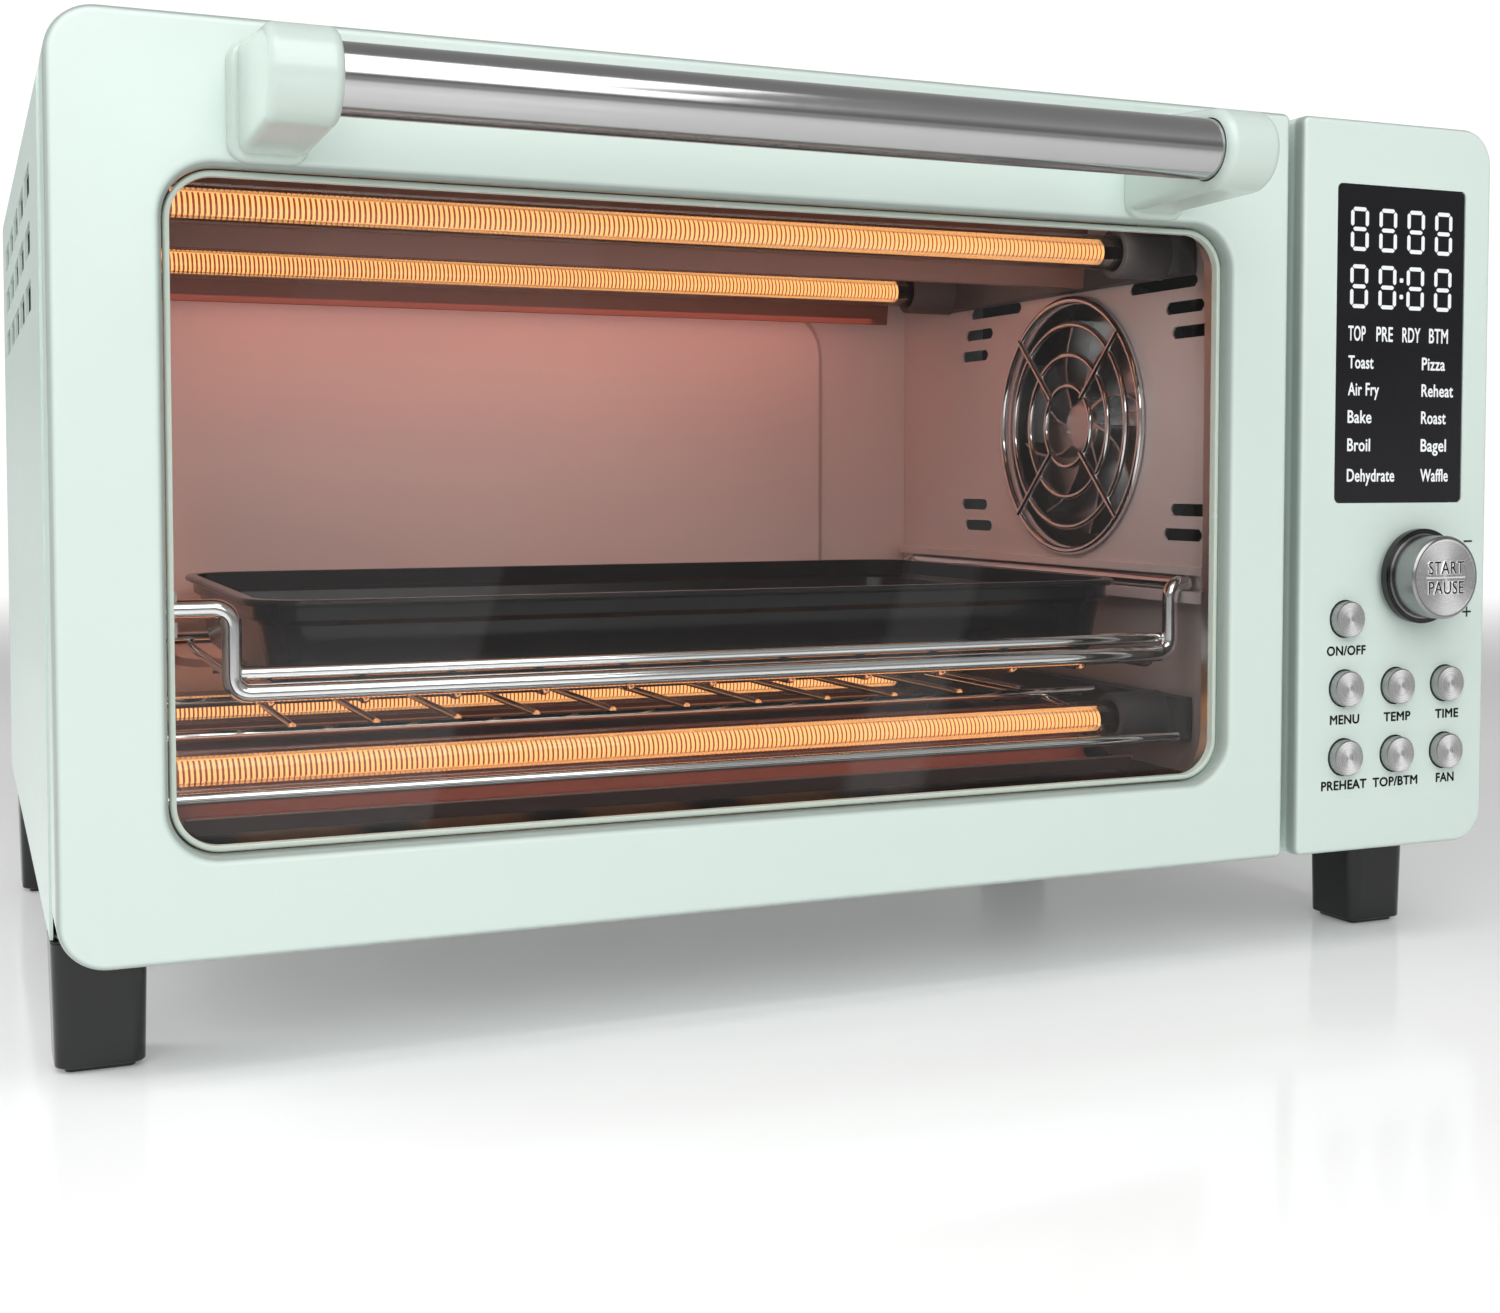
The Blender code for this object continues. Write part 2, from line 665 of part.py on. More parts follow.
def handle(pivot):
    nose = []
    for step in range(9):
        angle = math.radians(90 + 180 * step / 8)
        nose.append((bar_y + nose_radius * math.cos(angle), bar_z + nose_radius * math.sin(angle)))
    profile = [(-gap, 211.5), (-gap, 243.0)] + nose
    for side, (x0, x1) in handle_feet.items():
        bracket = part("handle_bracket_" + side, prism(profile, "x", x0, x1), "mint_enamel", pivot)
        soften(bracket, 1.6)
        mouth = (bar_ends[0] - gap, x1 + 5) if side == "left" else (x0 - 5, bar_ends[1] + gap)
        hole = bar_radius + gap
        cut(bracket, turned([(0, mouth[0]), (hole, mouth[0]), (hole, mouth[1]), (0, mouth[1])],
                            "x", (bar_y, bar_z), 28))
    tube = [(bar_radius - 1.2, bar_ends[0]), (bar_radius - 1.2, bar_ends[1]),
            (bar_radius, bar_ends[1]), (bar_radius, bar_ends[0])]
    part("handle_bar", turned(tube, "x", (bar_y, bar_z), 28, hollow=True), "chrome", pivot)


def hinge_brackets():
    for side, x in bracket_places.items():
        outline = [(frame_front - gap, hinge_z - 4), (frame_front - gap, hinge_z + 4), (hinge_y, hinge_z + 4),
                   (hinge_y - 3, hinge_z + 3), (hinge_y - 4, hinge_z), (hinge_y - 3, hinge_z - 3),
                   (hinge_y, hinge_z - 4)]
        bracket = part("hinge_bracket_" + side, prism(outline, "x", x, x + 3), "zinc_steel")
        hole = hinge_radius + gap
        cut(bracket, turned([(0, x - 5), (hole, x - 5), (hole, x + 8), (0, x + 8)], "x", (hinge_y, hinge_z), 16))


# ---- Controls ------------------------------------------------------------------------------------------

def buttons():
    """Name and place of each button."""
    names = (("on_off",), ("menu", "temp", "time"), ("preheat", "top_bottom", "fan"))
    places = {}
    for row, z in zip(names, button_rows):
        for name, x in zip(row, button_columns):
            places["button_" + name] = (x, z)
    return places


def control_panel():
    corners = (inner_corner, 12.0, 12.0, inner_corner)
    panel = part("control_panel", soft_front(panel_left, front_width, corners, panel_depth), "mint_enamel")
    inside = rounded(panel_left, front_width, 0, front_height, corners, 2.2)
    cut(panel, prism(inside, "y", 2.8, panel_depth + 5))
    holes = [prism(rounded(*display, 2.0, steps=3), "y", -5, 10),
             prism(round_outline((knob_x, knob_z), 4.2, 16), "y", -5, 10)]
    holes += [prism(round_outline(place_xz, button_radius + 0.4, 20), "y", -5, 10)
              for place_xz in buttons().values()]
    cut(panel, together(holes))
    part("display_lens", prism(rounded(*display, 2.0, gap, steps=3), "y", 0.25, 2.6), "black_glass")

    board = part("control_board", box(402.0, 471.0, 12.0, 13.6, 18.0, 234.0), "circuit_board")
    join(board, box(412.0, 464.0, 3.2, 12.5, 122.0, 226.0))
    cut(board, prism(round_outline((knob_x, knob_z), 3.8, 12), "y", 0, 20))
    part_body = part("encoder_body", box(knob_x - 6.5, knob_x + 6.5, 3.2, 11.6, knob_z - 6.5, knob_z + 6.5),
                     "motor_steel")
    cut(part_body, prism(round_outline((knob_x, knob_z), 3.4, 16), "y", 0, 20))


def power_board():
    board = part("power_board", box(462.0, 463.6, 60.0, 210.0, 28.0, 130.0), "circuit_board")
    for y0, y1, z0, z1, reach in ((70, 100, 36, 66, 24), (112, 132, 40, 58, 16), (112, 132, 70, 88, 16),
                                  (150, 166, 40, 56, 22), (178, 202, 90, 120, 14)):
        join(board, box(463.0 - reach, 463.0, y0, y1, z0, z1))


def button(name, x, z):
    profile = [(0, -2.9), (3.0, -3.0), (5.3, -3.3), (button_radius, -2.6), (button_radius, 3.1), (7.6, 3.1),
               (7.6, 4.3), (2.2, 4.3), (2.2, 9.5), (0, 9.5)]
    part(name, turned(profile, "y", (x, z), 18), "brushed_metal", (x, 0, z))


def knob():
    pivot = (knob_x, 0, knob_z)
    cap = [(0, -15.3), (12.6, -15.6), (14.2, -14.4), (14.2, -5.2), (16.4, -4.6), (16.4, -2.2), (0, -2.2)]
    piece = part("knob", turned(cap, "y", (knob_x, knob_z), 36), "brushed_metal", pivot)
    cut(piece, turned([(0, -10.6), (3.3, -10.6), (3.3, 5.0), (0, 5.0)], "y", (knob_x, knob_z), 16))
    shaft = [(0, -10.2), (3.0, -10.2), (3.0, 10.0), (0, 10.0)]
    part("encoder_shaft", turned(shaft, "y", (knob_x, knob_z), 16), "motor_steel", pivot)


for old in list(bpy.data.objects):
    bpy.data.objects.remove(old, do_unlink=True)

outer_casing()
rear_cover()
base_plate()
feet()
front_frame()
cavity_walls()
crumb_tray()
heaters()
reflectors()
element_guard()
fan()
wire_rack()
baking_pan()
door()
hinge_brackets()
control_panel()
power_board()
knob()
for button_name, (button_x, button_z) in buttons().items():
    button(button_name, button_x, button_z)
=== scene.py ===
import json
import math

import bpy
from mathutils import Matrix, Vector

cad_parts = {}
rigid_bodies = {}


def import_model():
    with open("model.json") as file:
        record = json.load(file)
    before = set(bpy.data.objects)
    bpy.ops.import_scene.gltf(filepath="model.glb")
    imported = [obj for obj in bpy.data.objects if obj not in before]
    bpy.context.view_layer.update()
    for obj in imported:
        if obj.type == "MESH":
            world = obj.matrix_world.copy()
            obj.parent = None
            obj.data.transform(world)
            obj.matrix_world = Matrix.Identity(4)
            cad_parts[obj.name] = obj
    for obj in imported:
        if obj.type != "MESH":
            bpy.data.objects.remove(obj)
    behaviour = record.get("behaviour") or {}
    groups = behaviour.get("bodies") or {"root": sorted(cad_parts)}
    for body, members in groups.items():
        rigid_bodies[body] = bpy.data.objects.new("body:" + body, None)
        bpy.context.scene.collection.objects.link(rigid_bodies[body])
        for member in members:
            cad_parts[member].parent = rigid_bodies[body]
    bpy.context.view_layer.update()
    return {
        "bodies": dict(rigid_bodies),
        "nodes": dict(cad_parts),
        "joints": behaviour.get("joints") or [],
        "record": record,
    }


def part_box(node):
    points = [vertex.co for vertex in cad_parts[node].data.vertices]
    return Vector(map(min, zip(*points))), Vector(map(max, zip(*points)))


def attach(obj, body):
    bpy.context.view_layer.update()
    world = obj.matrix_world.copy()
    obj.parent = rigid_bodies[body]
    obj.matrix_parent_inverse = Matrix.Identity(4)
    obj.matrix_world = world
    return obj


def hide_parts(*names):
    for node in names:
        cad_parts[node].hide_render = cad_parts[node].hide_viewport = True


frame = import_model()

mm = 0.001
through = 5  # millimetres by which a cutting tool reaches past what it cuts
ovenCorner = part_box("door_frame")[0]  # lower left of the door's front face; x right, y back, z up from here

nodes = frame["nodes"]
record = frame["record"]
bodyOfNode = {node: body for body, members in record["behaviour"]["bodies"].items() for node in members}
slotOfNode = {part["node"]: part["material_slot"] for part in record["subparts"]}


def spot(x, y, z):
    # oven millimetres to a place in the frame
    return ovenCorner + Vector((x, y, z)) * mm


def size(node):
    # a node's low and high corner in oven millimetres
    low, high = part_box(node)
    return (low - ovenCorner) / mm, (high - ovenCorner) / mm


def middleOf(node):
    low, high = size(node)
    return (low + high) / 2


class Value:
    # a number socket, so that shader maths reads as plain expressions
    def __init__(self, nodeTree, socket):
        self.nodeTree = nodeTree
        self.socket = socket

    def maths(self, operation, *others):
        return self.nodeTree.value("ShaderNodeMath", {"operation": operation}, self, *others)

    def __add__(self, other): return self.maths("ADD", other)
    def __radd__(self, other): return self.maths("ADD", other)
    def __mul__(self, other): return self.maths("MULTIPLY", other)
    def __rmul__(self, other): return self.maths("MULTIPLY", other)
    def __sub__(self, other): return self.maths("SUBTRACT", other)
    def __rsub__(self, other): return (self * -1.0) + other
    def __truediv__(self, other): return self.maths("DIVIDE", other)
    def __pow__(self, other): return self.maths("POWER", other)


class NodeTree:
    # adds nodes to a tree: settings first, then what each socket holds or is linked to
    def __init__(self, tree):
        self.tree = tree

    def add(self, kind, settings, *inputs, **named):
        node = self.tree.nodes.new(kind)
        for setting, choice in settings.items():
            if setting == "stops":
                ramp = node.color_ramp
                while len(ramp.elements) < len(choice):
                    ramp.elements.new(0.5)
                for stop, (place, shade) in zip(ramp.elements, choice):
                    stop.position = place
                    stop.color = (shade, shade, shade, 1.0)
            else:
                setattr(node, setting, choice)
        for socket, source in list(zip(node.inputs, inputs)) + [(node.inputs[key], named[key]) for key in named]:
            self.plug(socket, source)
        return node

    def plug(self, socket, source):
        if isinstance(source, Value):
            source = source.socket
        if isinstance(source, bpy.types.NodeSocket):
            self.tree.links.new(source, socket)
        else:
            socket.default_value = source

    def value(self, kind, settings, *inputs, output=0, **named):
        return Value(self, self.add(kind, settings, *inputs, **named).outputs[output])

    def spread(self, fraction, low, high):
        # a 0 to 1 value moved to a range
        return fraction * (high - low) + low

    def tint(self, fraction, first, second):
        # mixes two colours, each given as a colour or as a link
        mixed = self.add("ShaderNodeMix", {"data_type": "RGBA"})
        self.plug(mixed.inputs[0], fraction)
        for socket, shade in ((mixed.inputs[6], first), (mixed.inputs[7], second)):
            self.plug(socket, (*shade, 1.0) if isinstance(shade, tuple) else shade)
        return mixed.outputs[2]

    def split(self, vector):
        # the x, y and z of a vector as values
        parts = self.add("ShaderNodeSeparateXYZ", {}, vector).outputs
        return [Value(self, part) for part in parts]


class Finish(NodeTree):
    # a Principled material and the nodes that vary it
    def __init__(self, name, colour, roughness, metallic=0.0, **constants):
        self.material = bpy.data.materials.new(name)
        self.material.use_nodes = True
        super().__init__(self.material.node_tree)
        self.shader = self.tree.nodes["Principled BSDF"]
        self.shader.inputs["Base Color"].default_value = (*colour, 1.0)
        self.shader.inputs["Roughness"].default_value = roughness
        self.shader.inputs["Metallic"].default_value = metallic
        for socket, constant in constants.items():
            self.shader.inputs[socket.replace("_", " ")].default_value = constant

    def place(self, scale=(1, 1, 1), centre=(0, 0, 0)):
        # object coordinates, moved to a centre and stretched
        coordinates = self.add("ShaderNodeTexCoord", {}).outputs["Object"]
        moved = self.add("ShaderNodeVectorMath", {"operation": "SUBTRACT"}, coordinates, tuple(centre))
        return self.add("ShaderNodeVectorMath", {"operation": "MULTIPLY"}, moved.outputs[0], scale).outputs[0]

    def noise(self, scale, detail=2.0, stretch=(1, 1, 1)):
        return self.value("ShaderNodeTexNoise", {}, Vector=self.place(stretch), Scale=scale, Detail=detail)

    def feed(self, **sources):
        for socket, source in sources.items():
            self.plug(self.shader.inputs[socket.replace("_", " ")], source)

    def bump(self, height, depth, strength):
        node = self.add("ShaderNodeBump", {}, Height=height, Distance=depth, Strength=strength)
        self.plug(self.shader.inputs["Normal"], node.outputs[0])
        return self

    def surface(self, result):
        # what the material shows in place of the plain shader
        self.plug(self.tree.nodes["Material Output"].inputs["Surface"], result)


def paint(name, colour, roughness, coat, peel):
    # smooth baked paint: a faint orange peel and a little change of tone
    finish = Finish(name, colour, roughness, Coat_Weight=coat, Coat_Roughness=0.16)
    darker = tuple(channel * 0.965 for channel in colour)
    finish.feed(Base_Color=finish.tint(finish.noise(9.0, 3.0), darker, colour),
                Roughness=finish.spread(finish.noise(60.0, 3.0), roughness - 0.04, roughness + 0.05))
    return finish.bump(finish.noise(peel, 2.0), 0.00003, 0.35)


# painted shade along the front edges of the door and panel: how deep it reaches, where it fades in and out, its
# strength and how dark it is
edgeShadeSettings = {"depth": 0.006, "stops": ((0.02, 0.0), (0.14, 1.0), (0.72, 1.0), (0.95, 0.0)),
                "strength": 0.75, "shade": 0.38}


def frontPaint(name, colour, roughness, coat, peel):
    # the same paint on the door and panel, with painted shade a tone deeper just behind their front edge
    s = edgeShadeSettings
    finish = paint(name, colour, roughness, coat, peel)
    plain = finish.shader.inputs["Base Color"].links[0].from_socket
    depth = finish.split(finish.place((1, 1, 1), (0, ovenCorner[1], 0)))[1] / s["depth"]
    shadeBand = finish.value("ShaderNodeValToRGB", {"stops": s["stops"]}, depth)
    paintedShadeColour = tuple(channel * s["shade"] for channel in colour)
    finish.feed(Base_Color=finish.tint(shadeBand * s["strength"], plain, paintedShadeColour))
    return finish


def sheetMetal(name, colour, roughness, metallic, grain, dark=0.8):
    # rolled sheet: fine lines along the grain, and blotches of tone
    finish = Finish(name, colour, roughness, metallic)
    lines = finish.noise(60.0, 4.0, grain)
    blotch = finish.noise(14.0, 4.0)
    shaded = tuple(channel * dark for channel in colour)
    finish.feed(Base_Color=finish.tint(lines * 0.5 + blotch * 0.5, shaded, colour),
                Roughness=finish.spread(lines, roughness - 0.07, roughness + 0.1))
    return finish.bump(lines, 0.00004, 0.3)


def moulded(name, colour, roughness, grain=900.0, depth=0.00002, **constants):
    # moulded plastic or ceramic, with a fine skin
    finish = Finish(name, colour, roughness, **constants)
    skin = finish.noise(grain, 3.0)
    lighter = tuple(min(1.0, channel * 1.25 + 0.004) for channel in colour)
    finish.feed(Base_Color=finish.tint(finish.noise(30.0, 3.0), colour, lighter),
                Roughness=finish.spread(skin, roughness - 0.03, roughness + 0.07))
    return finish.bump(skin, depth, 0.5)


# turned caps: how dark the face is between the painted highlight fans, and the fans' turn, sharpness and share
capSettings = {"metal": 0.7, "dark": 0.32, "highlightTurn": 0.5, "highlightPower": 2.2, "highlightShare": 0.85,
               "streakShare": 0.4, "rings": 5200.0, "streaks": 14.0, "skirtShade": 0.8}


def spunCap(name, centre, colour, roughness, faceRadius, sideShade, skirtRadius):
    # metal turned on a lathe: rings round the centre and streaks that fan out from it, with painted highlight in
    # two opposite fans across the face and painted shade on the side and skirt
    s = capSettings
    finish = Finish(name, colour, roughness, s["metal"])
    across, _, up = finish.split(finish.place((1, 1, 1), centre))
    radius = (across * across + up * up) ** 0.5
    angle = across.maths("ARCTAN2", up)
    line = {"noise_dimensions": "1D"}
    rings = finish.value("ShaderNodeTexNoise", line, W=radius, Scale=s["rings"], Detail=2.0)
    streaks = finish.value("ShaderNodeTexNoise", line, W=angle, Scale=s["streaks"], Detail=4.0)
    # painted highlight: the face is bright in two opposite fans and darker between them
    paintedHighlightFans = ((angle * 2.0 + s["highlightTurn"]).maths("COSINE") * 0.5 + 0.5) ** s["highlightPower"]  # two opposite fans of shine
    shine = (paintedHighlightFans * s["highlightShare"] + streaks * s["streakShare"]).maths("MINIMUM", 1.0)
    face = finish.tint(shine, tuple(channel * s["dark"] for channel in colour), colour)
    # painted shade: the side darker than the face, and the skirt darker still
    side = radius.maths("GREATER_THAN", faceRadius * mm)
    skirt = radius.maths("GREATER_THAN", skirtRadius * mm)
    finish.feed(Base_Color=finish.tint(side, face, sideShade - skirt * (sideShade * s["skirtShade"])),
                Metallic=finish.spread(side, s["metal"], 1.0),
                Roughness=finish.spread(rings, roughness - 0.04, roughness + 0.08))
    return finish.bump(rings, 0.00003, 0.25)


def polished(name, colour, roughness, metallic=1.0):
    # bright plate with faint handling marks
    finish = Finish(name, colour, roughness, metallic)
    marks = finish.noise(220.0, 4.0)
    dull = tuple(channel * 0.9 for channel in colour)
    finish.feed(Base_Color=finish.tint(finish.noise(40.0, 2.0), dull, colour),
                Roughness=finish.spread(marks, roughness - 0.02, roughness + 0.05))
    return finish.bump(marks, 0.00001, 0.2)


reflectionBandSettings = {"spans": ((73.0, 155.0), (285.0, 312.0)), "level": 210.0, "slant": 0.31, "gloss": 0.016}


def paintedReflectionBands(finish):
    # painted reflection: slanting bands where the glass mirrors more, in oven millimetres across the door and
    # leaning with the height
    s = reflectionBandSettings
    across, _, up = finish.split(finish.place((1000, 1000, 1000), ovenCorner))
    leaning = across - (up - s["level"]) * s["slant"]
    gloss = 0.0
    for start, end in s["spans"]:
        gloss = leaning.maths("GREATER_THAN", start) * leaning.maths("LESS_THAN", end) * s["gloss"] + gloss
    return gloss


def clear(name, tintColour, gloss, strength, haze=0.0, withReflectionBands=False):
    # thin glass: it lets light straight through and mirrors more at a glance
    finish = Finish(name, tintColour, gloss)
    see = finish.add("ShaderNodeBsdfTransparent", {}, (*tintColour, 1.0))
    shine = finish.add("ShaderNodeBsdfGlossy", {}, Color=(1.0, 1.0, 1.0, 1.0), Roughness=gloss)
    facing = finish.value("ShaderNodeFresnel", {}, IOR=1.5)
    share = facing * strength + finish.noise(6.0, 3.0, (1, 1, 0.4)) * haze
    # painted reflection bands on the door glass
    if withReflectionBands:
        share = share + paintedReflectionBands(finish)
    finish.surface(finish.add("ShaderNodeMixShader", {}, share, see.outputs[0], shine.outputs[0]).outputs[0])
    finish.tree.nodes.remove(finish.shader)
    return finish


def glow(name, colour, strength, base=(0.02, 0.02, 0.02)):
    # a lit piece, a little uneven
    finish = Finish(name, base, 0.5, Emission_Strength=strength)
    dimmer = tuple(channel * 0.9 for channel in colour)
    finish.feed(Emission_Color=finish.tint(finish.noise(25.0, 1.0), dimmer, colour))
    return finish


mint = (0.67, 0.785, 0.73)
alongX, alongY = (0.05, 1, 1), (1, 0.05, 1)  # the way a sheet's grain runs
finishes = {
    "mint_paint": paint("mintPaint", mint, 0.33, 0.35, 700.0),
    # mint plastic set darker than the paint: partly its own tone, partly painted shade of the handle brackets
    "mint_plastic": paint("mintPlasticShaded", (0.60, 0.705, 0.65), 0.22, 0.3, 500.0),
    "zinc_steel": sheetMetal("zincSheet", (0.60, 0.61, 0.61), 0.36, 1.0, alongX),
    # cavity and dark steel: their own grey, with a red tint that is painted glow of the hot heaters
    "cavity_steel": sheetMetal("cavitySheetWarmGlow", (0.60, 0.53, 0.52), 0.34, 0.35, alongX, 0.9),
    "dark_steel": sheetMetal("darkSheetWarmGlow", (0.15, 0.065, 0.05), 0.34, 0.3, alongX, 0.6),
    "ceramic_black": moulded("holderCeramic", (0.05, 0.045, 0.045), 0.5),
    "chrome_wire": polished("chromePlate", (0.90, 0.90, 0.91), 0.07),
    "motor_steel": sheetMetal("motorSteel", (0.45, 0.46, 0.47), 0.35, 1.0, alongX),
    "display_glass": moulded("displayWindow", (0.006, 0.006, 0.008), 0.08, 60.0, 0.000004),
    "circuit_board": moulded("boardGreen", (0.02, 0.13, 0.06), 0.45),
    "black_plastic": moulded("glossBlack", (0.006, 0.006, 0.007), 0.16, 300.0, 0.00001),
    "black_enamel": moulded("panEnamel", (0.006, 0.006, 0.007), 0.16, 90.0, 0.000003, Specular_IOR_Level=0.28),
    "fan_aluminium": sheetMetal("fanSheet", (0.70, 0.71, 0.72), 0.28, 1.0, alongY),
    "quartz_glass": clear("quartz", (1.0, 0.93, 0.88), 0.05, 0.6),
    "door_glass": clear("doorGlass", (0.97, 0.975, 0.97), 0.02, 0.30, 0.001, withReflectionBands=True),
    "glowing_wire": glow("hotWire", (1.0, 0.51, 0.20), 1.7),
    "brushed_caps": polished("capSides", (0.60, 0.60, 0.61), 0.26),
}
frontFinish = frontPaint("mintFrontEdgeShade", mint, 0.33, 0.35, 700.0)
coreFinish = glow("coilCore", (0.30, 0.055, 0.018), 1.0, (0.03, 0.01, 0.008))
# window bead: a grey-green plastic, partly its own tone and partly set darker as painted shade of the recess round
# the window
shadedTrimFinish = paint("trimPlasticShaded", (0.60, 0.68, 0.60), 0.25, 0.2, 500.0)
# dark sheets behind the side vents: painted shade seen through the slots
ventShadeFinish = moulded("ventShadeBlack", (0.02, 0.022, 0.022), 0.7, 900.0, 0.0003)
wordFinish = polished("knobLetters", (0.95, 0.95, 0.95), 0.22, 0.45)
# the seal round the door opening, its dark green-black colour painted shade of the seam
sealShadeFinish = moulded("sealRubberSeamShade", (0.055, 0.07, 0.062), 0.6)
barFinish = polished("barPlate", (0.52, 0.515, 0.52), 0.12)
digitFinish = glow("litSegments", (0.93, 0.96, 0.97), 1.0)
labelFinish = moulded("labelInk", (0.02, 0.022, 0.022), 0.5)
print("materials made:", len(bpy.data.materials))


def rest():
    if bpy.context.object and bpy.context.object.mode != "OBJECT":
        bpy.ops.object.mode_set(mode="OBJECT")
    bpy.ops.object.select_all(action="DESELECT")


def choose(piece):
    rest()
    piece.select_set(True)
    bpy.context.view_layer.objects.active = piece


def settled():
    # the new primitive, with its place and size in its mesh
    bpy.ops.object.transform_apply(location=True, rotation=True, scale=True)
    return bpy.context.object


def block(x0, x1, y0, y1, z0, z1):
    rest()
    low, high = spot(x0, y0, z0), spot(x1, y1, z1)
    bpy.ops.mesh.primitive_cube_add(size=1, location=(low + high) / 2)
    bpy.context.object.scale = high - low
    return settled()


turns = {"x": (0, math.pi / 2, 0), "y": (math.pi / 2, 0, 0), "z": (0, 0, 0)}


def barrel(centre, radius, length, axis, sides=64):
    # a round bar centred on a spot in oven millimetres
    rest()
    bpy.ops.mesh.primitive_cylinder_add(vertices=sides, radius=radius * mm, depth=length * mm,
                                        location=spot(*centre), rotation=turns[axis])
    return settled()


def ring(centre, radius, thickness, axis):
    rest()
    bpy.ops.mesh.primitive_torus_add(major_segments=72, minor_segments=10, major_radius=radius * mm,
                                     minor_radius=thickness * mm, location=spot(*centre), rotation=turns[axis])
    return settled()


def millimetres(place):
    return (place - ovenCorner) / mm


def unmarked(piece, kind):
    # nothing selected, and back in object mode, where faces, edges or vertices can be marked by place
    choose(piece)
    bpy.ops.object.mode_set(mode="EDIT")
    bpy.ops.mesh.select_mode(type=kind)
    bpy.ops.mesh.select_all(action="DESELECT")
    bpy.ops.object.mode_set(mode="OBJECT")


def markFaces(piece, test):
    # selects the faces that pass a test of their middle and direction
    unmarked(piece, "FACE")
    for face in piece.data.polygons:
        face.select = test(millimetres(face.center), face.normal)
    bpy.ops.object.mode_set(mode="EDIT")


def markEdges(piece, test):
    # selects the edges that pass a test of their middle and direction
    unmarked(piece, "EDGE")
    vertices = piece.data.vertices
    for edge in piece.data.edges:
        start, end = (vertices[i].co for i in edge.vertices)
        edge.select = test(millimetres((start + end) / 2), (end - start).normalized())
    bpy.ops.object.mode_set(mode="EDIT")


def markVertices(piece, test):
    unmarked(piece, "VERT")
    for vertex in piece.data.vertices:
        vertex.select = test(millimetres(vertex.co))
    bpy.ops.object.mode_set(mode="EDIT")


def roundEdges(piece, radius, test, segments=10):
    markEdges(piece, test)
    bpy.ops.mesh.bevel(offset=radius * mm, offset_type="OFFSET", segments=segments, affect="EDGES",
                       clamp_overlap=True)
    rest()
    return piece


def roundCorners(piece, axis, radii, segments=10):
    # radii for the corners left-low, right-low, right-high, left-high of a block seen along an axis
    low, high = bounds(piece)
    u, v = {"x": (1, 2), "y": (0, 2), "z": (0, 1)}[axis]
    along = "xyz".index(axis)
    corners = ((low[u], low[v]), (high[u], low[v]), (high[u], high[v]), (low[u], high[v]))
    for (cornerU, cornerV), radius in zip(corners, radii):
        roundEdges(piece, radius, lambda middle, way, a=cornerU, b=cornerV:
                   abs(way[along]) > 0.99 and abs(middle[u] - a) < 0.01 and abs(middle[v] - b) < 0.01, segments)
    return piece


def bounds(piece):
    places = [millimetres(vertex.co) for vertex in piece.data.vertices]
    return [min(p[i] for p in places) for i in range(3)], [max(p[i] for p in places) for i in range(3)]


def grow(piece, inset=0.0, depth=None, taper=None):
    # insets the marked faces, then draws them out
    if inset:
        bpy.ops.mesh.inset(thickness=inset * mm, use_boundary=True)
    if depth is not None:
        bpy.ops.mesh.extrude_region_move(TRANSFORM_OT_translate={"value": Vector(depth) * mm})
    if taper:
        bpy.ops.transform.resize(value=taper)
    return piece


def applied(piece, kind, **settings):
    choose(piece)
    step = piece.modifiers.new("step", kind)
    for setting, choice in settings.items():
        setattr(step, setting, choice)
    bpy.ops.object.modifier_apply(modifier=step.name)
    return piece


def carve(piece, *tools, operation="DIFFERENCE"):
    tool = gathered(tools)
    applied(piece, "BOOLEAN", operation=operation, solver="EXACT", object=tool)
    bpy.data.objects.remove(tool)
    return piece


def gathered(pieces):
    # joins the pieces into the first
    choose(pieces[0])
    for piece in pieces:
        piece.select_set(True)
    if len(pieces) > 1:
        bpy.ops.object.join()
    return pieces[0]


def copied(piece, shift):
    choose(piece)
    bpy.ops.object.duplicate()
    bpy.context.object.location = Vector(shift) * mm
    return settled()


def softened(piece, width, segments=3, angle=30.0):
    return applied(piece, "BEVEL", width=width * mm, segments=segments, limit_method="ANGLE",
                   angle_limit=math.radians(angle), harden_normals=False)


def smooth(piece, angle):
    choose(piece)
    bpy.ops.object.shade_smooth_by_angle(angle=math.radians(angle))
    return piece


def cleaned(piece):
    choose(piece)
    bpy.ops.object.mode_set(mode="EDIT")
    bpy.ops.mesh.select_all(action="SELECT")
    bpy.ops.mesh.remove_doubles(threshold=0.00001)
    bpy.ops.mesh.normals_make_consistent(inside=False)
    rest()
    return piece


def finished(piece, name, finish, node=None, body=None, angle=32.0):
    # names the piece, gives it its finish, and puts it on its body in place of its CAD node
    smooth(piece, angle)
    applied(piece, "WEIGHTED_NORMAL", mode="FACE_AREA", weight=80, keep_sharp=True)
    piece.name = name
    piece.data.name = name
    piece.data.materials.clear()
    piece.data.materials.append(finish.material)
    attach(piece, body or bodyOfNode[node])
    if node:
        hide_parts(node)
    return piece


